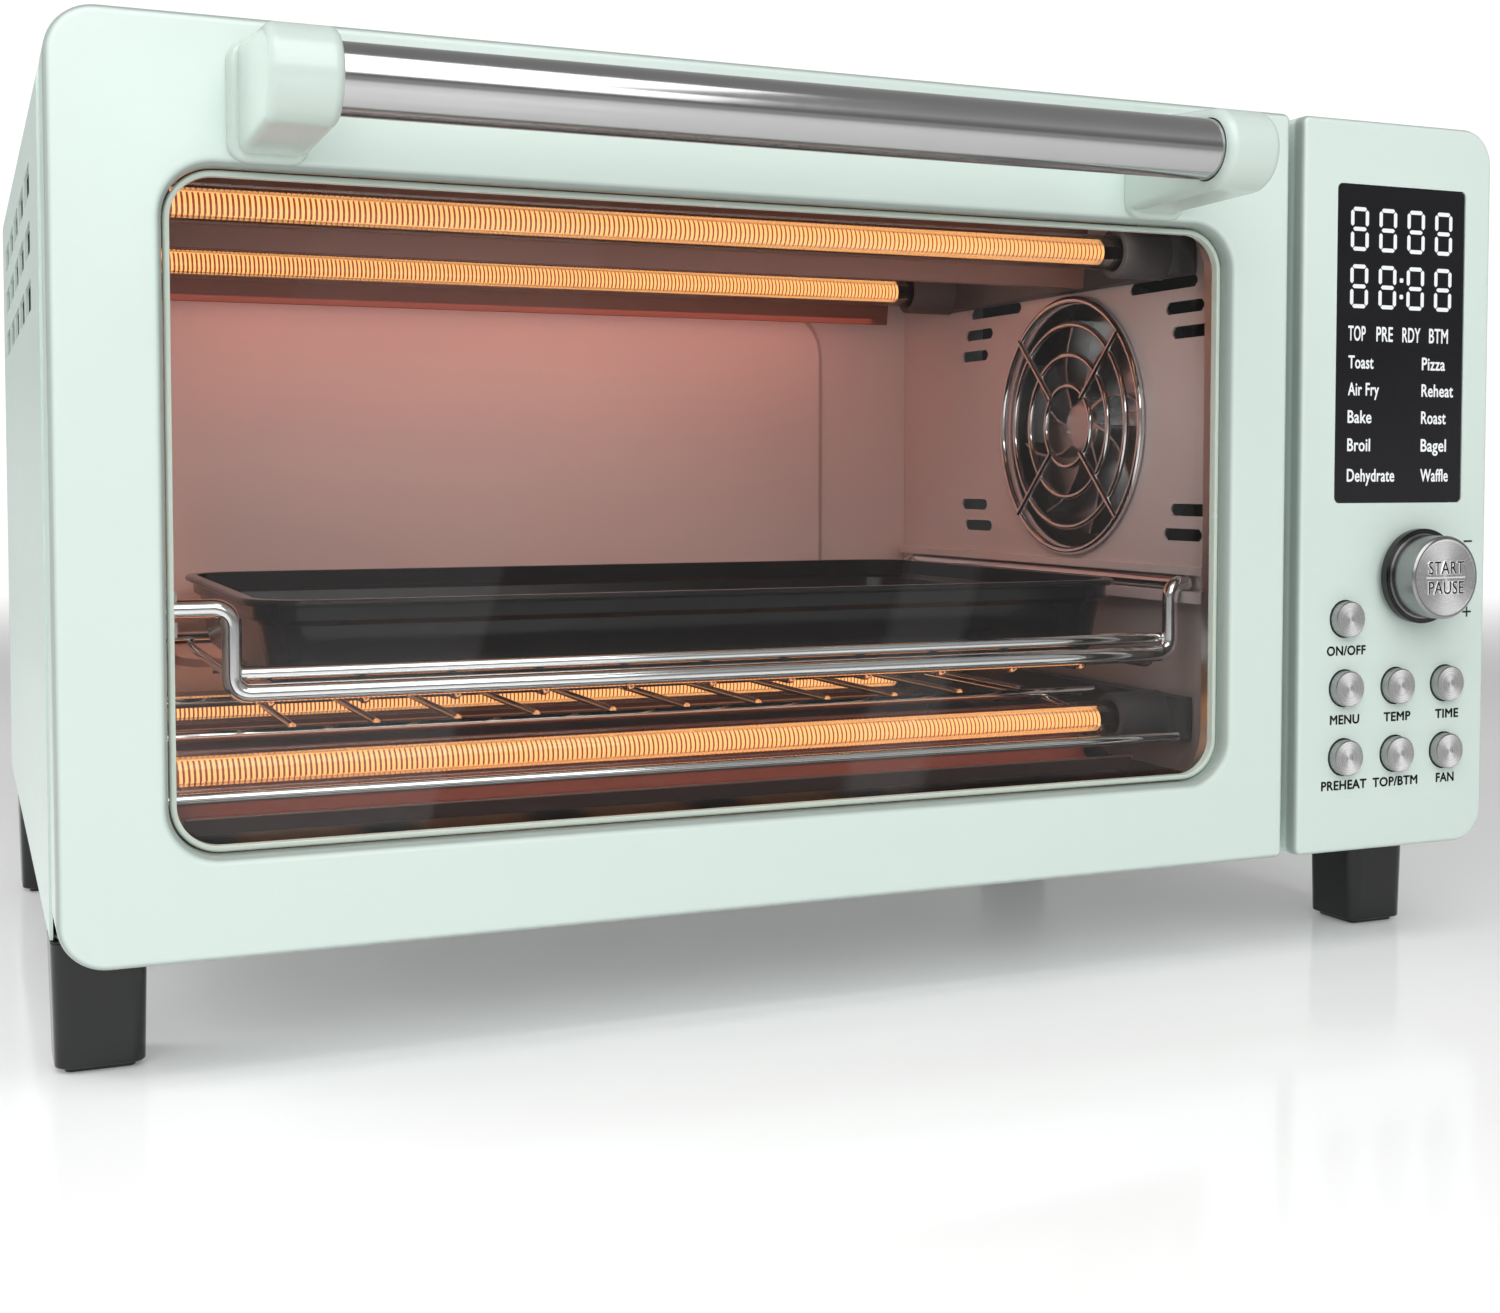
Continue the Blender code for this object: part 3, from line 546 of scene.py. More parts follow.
def wire(points, radius, bend=0.0, sides=4):
    # a round wire along a path in oven millimetres, with bent corners
    rest()
    bpy.ops.mesh.primitive_plane_add(size=0.001, location=(0, 0, 0))
    piece = bpy.context.object
    bpy.ops.object.mode_set(mode="EDIT")
    bpy.ops.mesh.select_mode(type="VERT")
    bpy.ops.mesh.select_all(action="SELECT")
    bpy.ops.mesh.merge(type="CENTER")
    bpy.ops.transform.translate(value=spot(*points[0]))
    for start, end in zip(points, points[1:]):
        step = (Vector(end) - Vector(start)) * mm
        bpy.ops.mesh.extrude_region_move(TRANSFORM_OT_translate={"value": step})
    if bend:
        ends = [Vector(points[0]), Vector(points[-1])]
        markVertices(piece, lambda place: all((place - end).length > 0.1 for end in ends))
        bpy.ops.mesh.bevel(offset=bend * mm, segments=8, affect="VERTICES")
    rest()
    choose(piece)
    bpy.ops.object.convert(target="CURVE")
    line = bpy.context.object.data
    line.bevel_depth = radius * mm
    line.bevel_resolution = sides
    line.use_fill_caps = True
    bpy.ops.object.convert(target="MESH")
    return cleaned(settled())


def refined(node, edge=0.0, angle=35.0, segments=2):
    # a merged copy of a CAD node, with its edges eased
    rest()
    piece = bpy.data.objects.new(node + "_fine", nodes[node].data.copy())
    bpy.context.scene.collection.objects.link(piece)
    choose(piece)
    bpy.ops.object.mode_set(mode="EDIT")
    bpy.ops.mesh.select_all(action="SELECT")
    bpy.ops.mesh.remove_doubles(threshold=0.000005)
    bpy.ops.mesh.dissolve_limited(angle_limit=math.radians(0.5))
    rest()
    if edge:
        softened(piece, edge, segments, 40.0)
    return finished(piece, node + "_fine", finishes[slotOfNode[node]], node, angle=angle)


doorSettings = {"outerCorner": 13.0, "innerCorner": 2.5, "frontEdge": 2.4, "wall": 2.4,
                "windowCorner": 14.0, "lip": 1.3, "lipEnd": 7.2, "windowEdge": 2.8, "cornerSteps": 14,
                "notch": (-1.5, 4.5, 12.5, 30, -5, 12), "trimGap": 0.6, "beadFront": 4.4, "beadBack": 7.2,
                "beadWidth": 1.7, "beadEdges": (0.9, 0.5), "seal": (24.3, 27.8), "sealInset": 3.0,
                "sealWidth": 1.8, "sealFoot": 20.0, "sealCorners": (8.0, 0.5, 0.5, 8.0), "sealEdge": 0.8}


def windowOf(inset):
    # the window's outline, from the trim that sits a gap inside it
    low, high = size("window_trim")
    reach = doorSettings["trimGap"] - inset
    return low[0] - reach, high[0] + reach, low[2] - reach, high[2] + reach


def windowBlock(inset, y0, y1):
    x0, x1, z0, z1 = windowOf(inset)
    radius = doorSettings["windowCorner"] - inset
    return roundCorners(block(x0, x1, y0, y1, z0, z1), "y", (radius,) * 4, doorSettings["cornerSteps"])


def insideWindow(middle):
    x0, x1, z0, z1 = windowOf(-0.1)
    return x0 < middle[0] < x1 and z0 < middle[2] < z1


def isFrontEdge(level):
    return lambda middle, way: abs(middle[1] - level) < 0.02


def makeDoor():
    s = doorSettings
    low, high = size("door_frame")
    width, depth, height = high - low
    radii = (s["outerCorner"], s["innerCorner"], s["innerCorner"], s["outerCorner"])
    frame = roundCorners(block(0, width, 0, depth, 0, height), "y", radii, s["cornerSteps"])
    roundEdges(frame, s["frontEdge"], isFrontEdge(0), 5)
    wall = s["wall"]
    hollow = roundCorners(block(wall, width - wall, wall, depth + through, wall, height - wall), "y",
                          [max(r - wall, 0.5) for r in radii], s["cornerSteps"])
    carve(frame, hollow)
    carve(frame, windowBlock(-s["lip"], wall - 0.5, s["lipEnd"]), operation="UNION")
    carve(frame, windowBlock(0, -through, depth))
    start, end, *span = s["notch"]
    places = [size("hinge_bracket_" + side)[0][0] for side in ("left", "right")]
    carve(frame, *[block(x + start, x + end, *span) for x in places])
    roundEdges(frame, s["windowEdge"], lambda middle, way: abs(middle[1]) < 0.02 and insideWindow(middle), 5)
    finished(frame, "doorShell", frontFinish, "door_frame")

    start, end = s["beadFront"], s["beadBack"]
    trim = windowBlock(s["trimGap"], start, end)
    roundEdges(trim, s["beadEdges"][0], isFrontEdge(start), 4)
    carve(trim, windowBlock(s["trimGap"] + s["beadWidth"], start - through, end + through))
    roundEdges(trim, s["beadEdges"][1], isFrontEdge(start), 3)
    finished(trim, "windowBead", shadedTrimFinish, "window_trim")

    inset = s["sealInset"]
    seal = roundCorners(block(inset, width - inset, *s["seal"], inset, height - inset), "y",
                        [max(r - inset, 0.5) for r in radii], s["cornerSteps"])
    inner = inset + s["sealWidth"]
    start, end = s["seal"][0] - through, s["seal"][1] + through
    carve(seal, roundCorners(block(inner, width - inner, start, end, inner, height - inner), "y",
                             s["sealCorners"], s["cornerSteps"]))
    carve(seal, block(-through, width + through, start, end, -through, s["sealFoot"]))  # room for the door to swing
    softened(seal, s["sealEdge"], 3, 50.0)
    finished(seal, "doorSeal", sealShadeFinish, body="oven_body")


makeDoor()
print("door done")


handleSettings = {"noseRadius": 12.3, "footLow": 211.5, "footHigh": 243.0, "footDepth": 1.0, "edge": 2.8,
                  "waist": 2.6, "waistRise": 2.2, "clearance": 0.3, "pad": 3.6, "padCorner": 5.0, "padEdge": 2.0,
                  "tubeWall": 1.2, "tubeDepth": 8.0, "tubeEdge": 0.4, "socketGap": 0.3}


def makeHandle():
    s = handleSettings
    low, high = size("handle_bar")
    middle, radius = (low + high) / 2, (high[2] - low[2]) / 2
    bar = barrel(middle, radius, high[0] - low[0], "x", 96)
    for side in (-1, 1):
        markFaces(bar, lambda place, way: way[0] * side > 0.99)
        grow(bar, s["tubeWall"], (-s["tubeDepth"] * side, 0, 0))
    roundEdges(bar, s["tubeEdge"], lambda place, way:
               abs(abs(place[0] - middle[0]) - (high[0] - low[0]) / 2) < 0.05, 2)
    finished(bar, "handleTube", barFinish, "handle_bar")
    for side in ("left", "right"):
        name = "handle_bracket_" + side
        start, end = (corner[0] for corner in size(name))
        outer = (s["waist"], 0) if side == "left" else (0, s["waist"])
        nose = barrel(((start + end + outer[0] - outer[1]) / 2, middle[1], middle[2]), s["noseRadius"],
                      end - start - s["waist"], "x", 72)
        foot = block(start + outer[0], end - outer[1], -s["footDepth"], -s["clearance"],
                     s["footLow"] + s["waistRise"], s["footHigh"])
        bracket = gathered((nose, foot))
        bpy.ops.object.mode_set(mode="EDIT")
        bpy.ops.mesh.select_all(action="SELECT")
        bpy.ops.mesh.convex_hull()
        bpy.ops.mesh.select_all(action="SELECT")
        bpy.ops.mesh.dissolve_limited(angle_limit=math.radians(0.5))
        rest()
        roundEdges(bracket, s["edge"], lambda place, way:
                   abs(way[0]) < 0.5 and place[1] < -s["clearance"] - 0.1, 6)
        pad = roundCorners(block(start, end, -s["pad"], -s["clearance"], s["footLow"], s["footHigh"]), "y",
                           (s["padCorner"],) * 4, 8)
        roundEdges(pad, s["padEdge"], isFrontEdge(-s["pad"]), 6)
        carve(bracket, pad, operation="UNION")
        gap = s["socketGap"]
        mouth = (low[0] - gap, end + through) if side == "left" else (start - through, high[0] + gap)
        carve(bracket, barrel(((mouth[0] + mouth[1]) / 2, middle[1], middle[2]), radius + gap,
                              mouth[1] - mouth[0], "x", 96))
        finished(bracket, side + "HandleBracket", finishes["mint_plastic"], name)


makeHandle()
print("handle done")


casingSettings = {"corner": 13.0, "cornerSteps": 14, "foot": 0.3, "frontEdge": 0.7, "sheet": 1.0,
                  "slotLength": 40.0, "slotHeight": 9.5, "slotPitch": 52.0, "slotsInRow": 5,
                  "firstSlot": 98.0, "slotTops": (224.0, 206.5, 189.0), "slotCorner": 1.2,
                  "shadeSheet": (1.5, 1.9), "shadeSheetReach": (90.0, 352.0, 174.0, 230.0)}


def makeCasing():
    s = casingSettings
    low, high = size("outer_casing")
    corner, foot, sheet = s["corner"], s["foot"], s["sheet"]
    casing = roundCorners(block(low[0], high[0], low[1], high[1], low[2], high[2]), "y",
                          (foot, foot, corner, corner), s["cornerSteps"])
    hollow = block(low[0] + sheet, high[0] - sheet, low[1] - through, high[1] + through,
                   low[2] - 4 * through, high[2] - sheet)
    carve(casing, roundCorners(hollow, "y", (foot, foot, corner - sheet, corner - sheet), s["cornerSteps"]))
    slot = roundCorners(block(low[0] - through, low[0] + through, s["firstSlot"], s["firstSlot"] + s["slotLength"],
                              s["slotTops"][0] - s["slotHeight"], s["slotTops"][0]), "x", (s["slotCorner"],) * 4, 4)
    tools = []
    for side in (0, high[0] - low[0]):
        for top in s["slotTops"]:
            for column in range(s["slotsInRow"]):
                tools.append(copied(slot, (side, column * s["slotPitch"], top - s["slotTops"][0])))
    bpy.data.objects.remove(slot)
    carve(casing, *tools)
    roundEdges(casing, s["frontEdge"], lambda place, way: abs(place[1] - low[1]) < 0.02 and
               (abs(way[2]) > 0.5 or abs(way[0]) > 0.5) and onSkin(place, low, high), 3)
    finished(casing, "casingWrap", finishes["mint_paint"], "outer_casing")
    # dark sheets just inside the side vents: painted shade in place of the dark space behind the slots
    start, end = s["shadeSheet"]
    for side, x in (("Left", low[0] + start), ("Right", high[0] - end)):
        shadeSheet = block(x, x + end - start, *s["shadeSheetReach"])
        finished(softened(shadeSheet, 0.1, 2, 50.0), "ventScreen" + side, ventShadeFinish, body="oven_body")


def onSkin(place, low, high):
    return min(place[0] - low[0], high[0] - place[0], high[2] - place[2]) < 0.05


footSettings = {"corner": 5.0, "sole": 1.6, "taper": 0.94, "soleInset": 2.6, "edge": 0.5}


def makeFeet():
    s = footSettings
    for row in ("front", "rear"):
        for side in ("left", "right"):
            name = "foot_" + row + "_" + side
            low, high = size(name)
            foot = roundCorners(block(low[0], high[0], low[1], high[1], low[2] + s["sole"], high[2]), "z",
                                (s["corner"],) * 4, 8)
            markFaces(foot, lambda place, way: way[2] < -0.9)
            bpy.ops.transform.resize(value=(s["taper"], s["taper"], 1.0))
            grow(foot, s["soleInset"])
            grow(foot, 0, (0, 0, -s["sole"]))
            rest()
            softened(foot, s["edge"], 3, 40.0)
            finished(foot, row + side.capitalize() + "Foot", finishes["black_plastic"], name)


makeCasing()
makeFeet()
for name in ("rear_cover", "base_plate", "front_frame", "hinge_bracket_left", "hinge_bracket_right", "fan_housing"):
    refined(name, 0.25)
for name in ("cord_gland", "door_inner_panel", "hinge_rod", "fan_motor", "encoder_body", "encoder_shaft"):
    refined(name)
print("body done")


coilSettings = {"pitch": 1.6, "wire": 0.48, "turnSteps": 20, "wireSides": 6, "core": 3.2, "coreEnds": 2.0,
                "coreEdge": 0.6, "tubeWall": 1.0, "tubeEdge": 0.3}


def makeHeater(level, row):
    s = coilSettings
    name = "_".join(("heating_coil", level, row))
    label = level + row.capitalize()
    low, high = size(name)
    middle, radius = (low + high) / 2, (high[2] - low[2]) / 2
    turnCount = int((high[0] - low[0] - 2 * s["wire"]) / s["pitch"])
    rest()
    bpy.ops.mesh.primitive_circle_add(vertices=s["wireSides"], radius=s["wire"] * mm, rotation=turns["y"],
                                      location=(s["wire"] * mm, 0, (radius - s["wire"]) * mm))
    coil = settled()
    applied(coil, "SCREW", axis="X", angle=2 * math.pi, screw_offset=s["pitch"] * mm, iterations=turnCount,
            steps=s["turnSteps"], render_steps=s["turnSteps"], use_merge_vertices=False)
    coil.location = spot(low[0], middle[1], middle[2])
    choose(coil)
    coil = settled()
    bpy.ops.object.mode_set(mode="EDIT")
    bpy.ops.mesh.select_all(action="SELECT")
    bpy.ops.mesh.fill_holes(sides=0)
    bpy.ops.mesh.normals_make_consistent(inside=False)
    rest()
    finished(coil, label + "Coil", finishes["glowing_wire"], name, angle=60.0)
    core = barrel(middle, s["core"], high[0] - low[0] - s["coreEnds"], "x", 24)
    softened(core, s["coreEdge"], 2, 50.0)
    finished(core, label + "Core", coreFinish, body="oven_body")

    tube = "_".join(("quartz_tube", level, row))
    low, high = size(tube)
    outer = (high[2] - low[2]) / 2
    glass = barrel((low + high) / 2, outer, high[0] - low[0], "x", 48)
    carve(glass, barrel((low + high) / 2, outer - s["tubeWall"], high[0] - low[0] + 2 * through, "x", 48))
    softened(glass, s["tubeEdge"], 2, 50.0)
    finished(glass, label + "Tube", finishes["quartz_glass"], tube)


for heaterLevel in ("top", "bottom"):
    for heaterRow in ("front", "rear"):
        makeHeater(heaterLevel, heaterRow)
    for heaterSide in ("left", "right"):
        refined("element_holder_" + heaterLevel + "_" + heaterSide, 0.3)
    refined("reflector_" + heaterLevel, 0.5, segments=3)
print("heaters done")


for name in ("cavity_left_wall", "cavity_right_wall", "cavity_top", "cavity_floor", "cavity_rear_wall"):
    refined(name, 0.3 if name.endswith("wall") else 0.0)
refined("crumb_tray", 0.4)
refined("baking_pan", 0.4, 50.0)
refined("fan_impeller", 0.2)
print("cavity done")


rackSettings = {"wire": 2.5, "crossWire": 1.6, "firstCross": 62.4, "crossPitch": 28.0, "crossCount": 12,
                "left": 29.5, "right": 382.5, "legs": (51.0, 377.0), "front": 47.0, "back": 250.0,
                "high": 91.0, "low": 66.0, "bend": 5.0, "braces": (115.0, 182.0), "braceInset": 11.0, "drop": 6.0,
                "rail": 2.9, "innerRail": (3.0, 5.5, 2.1), "crossDrop": 3.6, "crossRun": 4.0, "crossBend": 2.0,
                "past": 2.0}


def makeRack():
    s = rackSettings
    left, right, front, back, high, low = (s[key] for key in ("left", "right", "front", "back", "high", "low"))
    legLeft, legRight = s["legs"]
    past = s["past"]
    wires = [wire([(x, front - past, high), (x, back + past, high)], s["wire"]) for x in (left, right)]
    for y in (front, back):
        rail = [(left, y, high), (legLeft, y, high), (legLeft, y, low), (legRight, y, low),
                (legRight, y, high), (right, y, high)]
        wires.append(wire(rail, s["rail"] if y == front else s["wire"], s["bend"]))
    behind, above, radius = s["innerRail"]
    wires.append(wire([(x, front + behind, low + above) for x in s["legs"]], radius))
    under = low - s["crossDrop"]
    for count in range(s["crossCount"]):
        x = s["firstCross"] + count * s["crossPitch"]
        path = [(x, front, low), (x, front + s["crossRun"], under), (x, back + past, under)]  # from inside the rail
        wires.append(wire(path, s["crossWire"], s["crossBend"], 3))
    for y in s["braces"]:
        ends = legLeft + s["braceInset"], legRight - s["braceInset"]
        wires.append(wire([(x, y, low - s["drop"]) for x in ends], s["crossWire"], sides=3))
    finished(gathered(wires), "dropRack", finishes["chrome_wire"], "wire_rack", angle=60.0)


guardSettings = {"wire": 1.8, "sideWire": 1.5, "crossWire": 1.2, "left": 31.0, "right": 377.0,
                 "sides": (38.0, 356.0), "bars": ((42.0, 36.8), (96.0, 47.5), (188.0, 47.5)), "sideBend": 4.0,
                 "sidePath": ((42.4, 36.5), (69.0, 33.6), (79.0, 43.5), (96.0, 45.6), (189.5, 45.6)),
                 "crossPath": ((95.8, 49.4), (188.5, 49.4)),
                 "firstCross": 76.0, "crossPitch": 27.0, "crossCount": 11}
grilleSettings = {"place": 384.2, "rim": 49.6, "rimWire": 1.5, "rings": (16.0, 28.0, 40.0), "ringWire": 1.2,
                  "spokePlace": 383.4, "spoke": (15.0, 50.0), "spokeWire": 1.3, "spokes": 4}


def makeGuards():
    s = guardSettings
    wires = [wire([(s["left"], *bar), (s["right"], *bar)], s["wire"]) for bar in s["bars"]]
    for x in s["sides"]:
        wires.append(wire([(x, *point) for point in s["sidePath"]], s["sideWire"], s["sideBend"]))
    for count in range(s["crossCount"]):
        x = s["firstCross"] + count * s["crossPitch"]
        wires.append(wire([(x, *point) for point in s["crossPath"]], s["crossWire"], sides=3))
    finished(gathered(wires), "heaterGuard", finishes["chrome_wire"], "element_guard", angle=60.0)


def makeGrille():
    s = grilleSettings
    _, y, z = middleOf("fan_guard")
    centre = (s["place"], y, z)
    wires = [ring(centre, s["rim"], s["rimWire"], "x")]
    wires += [ring(centre, radius, s["ringWire"], "x") for radius in s["rings"]]
    for count in range(s["spokes"]):
        angle = 2 * math.pi * (count + 0.5) / s["spokes"]
        ends = [(s["spokePlace"], y + r * math.cos(angle), z + r * math.sin(angle)) for r in s["spoke"]]
        wires.append(wire(ends, s["spokeWire"]))
    finished(gathered(wires), "fanGrille", finishes["chrome_wire"], "fan_guard", angle=60.0)


makeRack()
makeGuards()
makeGrille()
print("wires done")


panelSettings = {"innerCorner": 2.5, "outerCorner": 12.0, "cornerSteps": 14, "frontEdge": 1.8, "wall": 2.2,
                 "face": 2.8, "lensGap": 0.3, "lensHole": 2.0, "lensCorner": 1.7, "lensEdge": 0.2,
                 "shaftHole": 4.2, "holeReach": 14, "buttonGap": 0.4, "holeEdge": 0.35}
buttonSettings = {"names": ("on_off", "menu", "temp", "time", "preheat", "top_bottom", "fan"),
                  "radius": 6.1, "length": 6.0, "steps": ((0.35, -0.3), (0.25, 0.12), (4.0, 0.22)), "edge": 0.12,
                  "colour": (0.95, 0.945, 0.95), "roughness": 0.26, "face": 5.7, "sideShade": 0.40, "skirt": 8.0}


def makePanel():
    s = panelSettings
    low, high = size("control_panel")
    radii = (s["innerCorner"], s["outerCorner"], s["outerCorner"], s["innerCorner"])
    panel = roundCorners(block(low[0], high[0], low[1], high[1], low[2], high[2]), "y", radii, s["cornerSteps"])
    roundEdges(panel, s["frontEdge"], isFrontEdge(low[1]), 5)
    wall = s["wall"]
    hollow = block(low[0] + wall, high[0] - wall, s["face"], high[1] + through, low[2] + wall, high[2] - wall)
    carve(panel, roundCorners(hollow, "y", [max(r - wall, 0.5) for r in radii], s["cornerSteps"]))
    gap, reach = s["lensGap"], s["holeReach"]
    lensLow, lensHigh = size("display_lens")
    holes = [roundCorners(block(lensLow[0] - gap, lensHigh[0] + gap, -through, 2 * through,
                                lensLow[2] - gap, lensHigh[2] + gap), "y", (s["lensHole"],) * 4, 6)]
    x, _, z = middleOf("knob")
    holes.append(barrel((x, 2, z), s["shaftHole"], reach, "y", 48))
    for button in buttonSettings["names"]:
        x, _, z = middleOf("button_" + button)
        holes.append(barrel((x, 2, z), buttonSettings["radius"] + s["buttonGap"], reach, "y", 64))
    carve(panel, *holes)
    roundEdges(panel, s["holeEdge"], lambda place, way: abs(place[1]) < 0.02 and insidePanel(place), 2)
    finished(panel, "panelShell", frontFinish, "control_panel")

    lens = roundCorners(block(lensLow[0], lensHigh[0], lensLow[1], lensHigh[1], lensLow[2], lensHigh[2]), "y",
                        (s["lensCorner"],) * 4, 6)
    softened(lens, s["lensEdge"], 2, 50.0)
    finished(lens, "displayWindow", finishes["display_glass"], "display_lens")


def insidePanel(place):
    low, high = size("control_panel")
    return low[0] + 3 < place[0] < high[0] - 3 and low[2] + 3 < place[2] < high[2] - 3


def lettering(text, height, depth, bevel):
    # flat letters made a mesh: cap height in millimetres, starting at the origin and facing the front
    rest()
    bpy.ops.object.text_add()
    letters = bpy.context.object
    letters.data.body = text
    letters.data.size = height / 0.70 * mm  # a capital is 0.70 of the type size
    letters.data.bevel_depth = bevel * mm
    letters.data.extrude = depth / 2 * mm
    letters.data.resolution_u = 4
    letters.data.space_character = 1.05
    bpy.ops.object.convert(target="MESH")
    bpy.context.object.rotation_euler = (math.pi / 2, 0, 0)
    return cleaned(settled())


def putText(text, x, y, z, height, width, weight, depth, bevel=0.0):
    # letters scaled to a width, with their left end at x and their baseline at z, made bolder by shifted copies
    letters = lettering(text, height, depth, bevel)
    shifts = ((weight, 0, 0), (-weight, 0, 0), (0, 0, weight), (0, 0, -weight))
    letters = gathered([letters] + [copied(letters, shift) for shift in shifts])
    places = [vertex.co.x for vertex in letters.data.vertices]
    factor = width * mm / (max(places) - min(places))
    letters.scale = (factor, 1, 1)
    letters.location = spot(x - min(places) / mm * factor, y, z)
    choose(letters)
    return settled()


labelSettings = {"height": 3.1, "front": -0.04, "weight": 0.13, "depth": 0.08, "signs": (469.1, 106.3, 81.4),
                 "signDepth": (-0.08, 0.02), "stroke": 0.33, "across": 1.9, "up": 1.8,
                 "words": (("ON/OFF", 407.7, 424.4, 68.0), ("MENU", 409.4, 422.0, 44.3),
                           ("TEMP", 432.6, 444.5, 44.3), ("TIME", 455.5, 466.0, 44.3),
                           ("PREHEAT", 406.0, 425.5, 21.7), ("TOP/BTM", 428.2, 448.0, 21.7),
                           ("FAN", 456.3, 464.4, 21.7))}


def makeLabels():
    s = labelSettings
    pieces = [putText(text, start, s["front"], z, s["height"], end - start, s["weight"], s["depth"])
              for text, start, end, z in s["words"]]
    x, minus, plus = s["signs"]
    across, up, stroke = s["across"], s["up"], s["stroke"]
    for z in (minus, plus):
        pieces.append(block(x - across, x + across, *s["signDepth"], z - stroke, z + stroke))
    pieces.append(block(x - stroke, x + stroke, *s["signDepth"], plus - up, plus + up))
    finished(gathered(pieces), "panelLabels", labelFinish, body="oven_body")


displaySettings = {"digitWidth": 7.6, "digitHeight": 14.8, "digitPitch": 12.2, "digitsInRow": 4,
                   "bar": 1.35, "space": 0.35, "point": 0.42, "rows": (205.8, 186.4), "firstDigit": 415.8,
                   "dots": (0.3, 0.68), "dot": 0.75, "dotCorner": 0.4, "front": 0.16, "depth": 0.08,
                   "statusHeight": 5.0, "statusWeight": 0.09, "statusLevel": 175.4,
                   "status": (("TOP", 415.2, 422.6), ("PRE", 427.3, 434.4), ("RDY", 438.6, 446.5),
                              ("BTM", 450.4, 458.8)),
                   "wordHeight": 4.3, "wordWeight": 0.10, "columns": (415.4, 447.4),
                   "programs": ((166.0, ("Toast", 10.8), ("Pizza", 10.3)),
                                (156.8, ("Air Fry", 13.3), ("Reheat", 14.1)),
                                (147.4, ("Bake", 10.2), ("Roast", 11.0)),
                                (137.8, ("Broil", 9.8), ("Bagel", 11.3)),
                                (127.4, ("Dehydrate", 20.5), ("Waffle", 12.3)))}


def segment(x0, x1, z0, z1):
    # one lit bar, pointed at both ends
    s = displaySettings
    bar = block(x0, x1, s["front"], s["front"] + s["depth"], z0, z1)
    along = 0 if x1 - x0 > z1 - z0 else 2
    middle = ((x0 + x1) / 2, 0, (z0 + z1) / 2)
    reach = max(x1 - x0, z1 - z0) / 2
    return roundEdges(bar, s["bar"] * s["point"], lambda place, way:
                      abs(way[1]) > 0.9 and abs(abs(place[along] - middle[along]) - reach) < 0.02, 1)


def digit(x, z):
    s = displaySettings
    width, height, bar, space = s["digitWidth"], s["digitHeight"], s["bar"], s["space"]
    half = height / 2
    bars = [segment(x + bar / 2 + space, x + width - bar / 2 - space, level, level + bar)
            for level in (z, z + half - bar / 2, z + height - bar)]
    for side in (x, x + width - bar):
        for start in (z, z + half):
            bars.append(segment(side, side + bar, start + bar / 2 + space, start + half - bar / 2 - space))
    return gathered(bars)


def makeDisplay():
    s = displaySettings
    first = digit(s["firstDigit"], s["rows"][0])
    pieces = [first]
    for row, level in enumerate(s["rows"]):
        for column in range(s["digitsInRow"]):
            if (row, column) != (0, 0):
                pieces.append(copied(first, (column * s["digitPitch"], 0, level - s["rows"][0])))
    colonX = s["firstDigit"] + 2 * s["digitPitch"] - (s["digitPitch"] - s["digitWidth"]) / 2
    dot = s["dot"]
    for share in s["dots"]:
        z = s["rows"][1] + share * s["digitHeight"]
        pieces.append(roundCorners(block(colonX - dot, colonX + dot, s["front"], s["front"] + s["depth"],
                                         z - dot, z + dot), "y", (s["dotCorner"],) * 4, 3))
    for text, start, end in s["status"]:
        pieces.append(putText(text, start, s["front"], s["statusLevel"], s["statusHeight"], end - start,
                              s["statusWeight"], s["depth"]))
    for z, *words in s["programs"]:
        for x, (text, width) in zip(s["columns"], words):
            pieces.append(putText(text, x, s["front"], z, s["wordHeight"], width, s["wordWeight"], s["depth"]))
    finished(gathered(pieces), "displaySegments", digitFinish, body="oven_body")


knobSettings = {"capRadius": 14.2, "skirtRadius": 16.4, "front": -15.5, "skirt": (-4.8, -2.2), "dish": 0.25,
                "rim": (0.3, 0.7), "rimTaper": 0.95, "lip": (0.3, 0.6), "edge": 0.25,
                "colour": (0.95, 0.95, 0.96), "roughness": 0.24, "face": 13.0, "sideShade": 0.32, "skirtFrom": 14.7,
                "words": (("START", 1.2), ("PAUSE", -5.6)), "wordHeight": 4.4, "wordWidth": 15.6,
                "wordWeight": 0.05, "wordDepth": 0.3, "wordBevel": 0.16, "wordFront": -0.1,
                "bar": (8.4, 0.3), "barDepth": (-0.35, 0.1), "barEdge": 0.15}


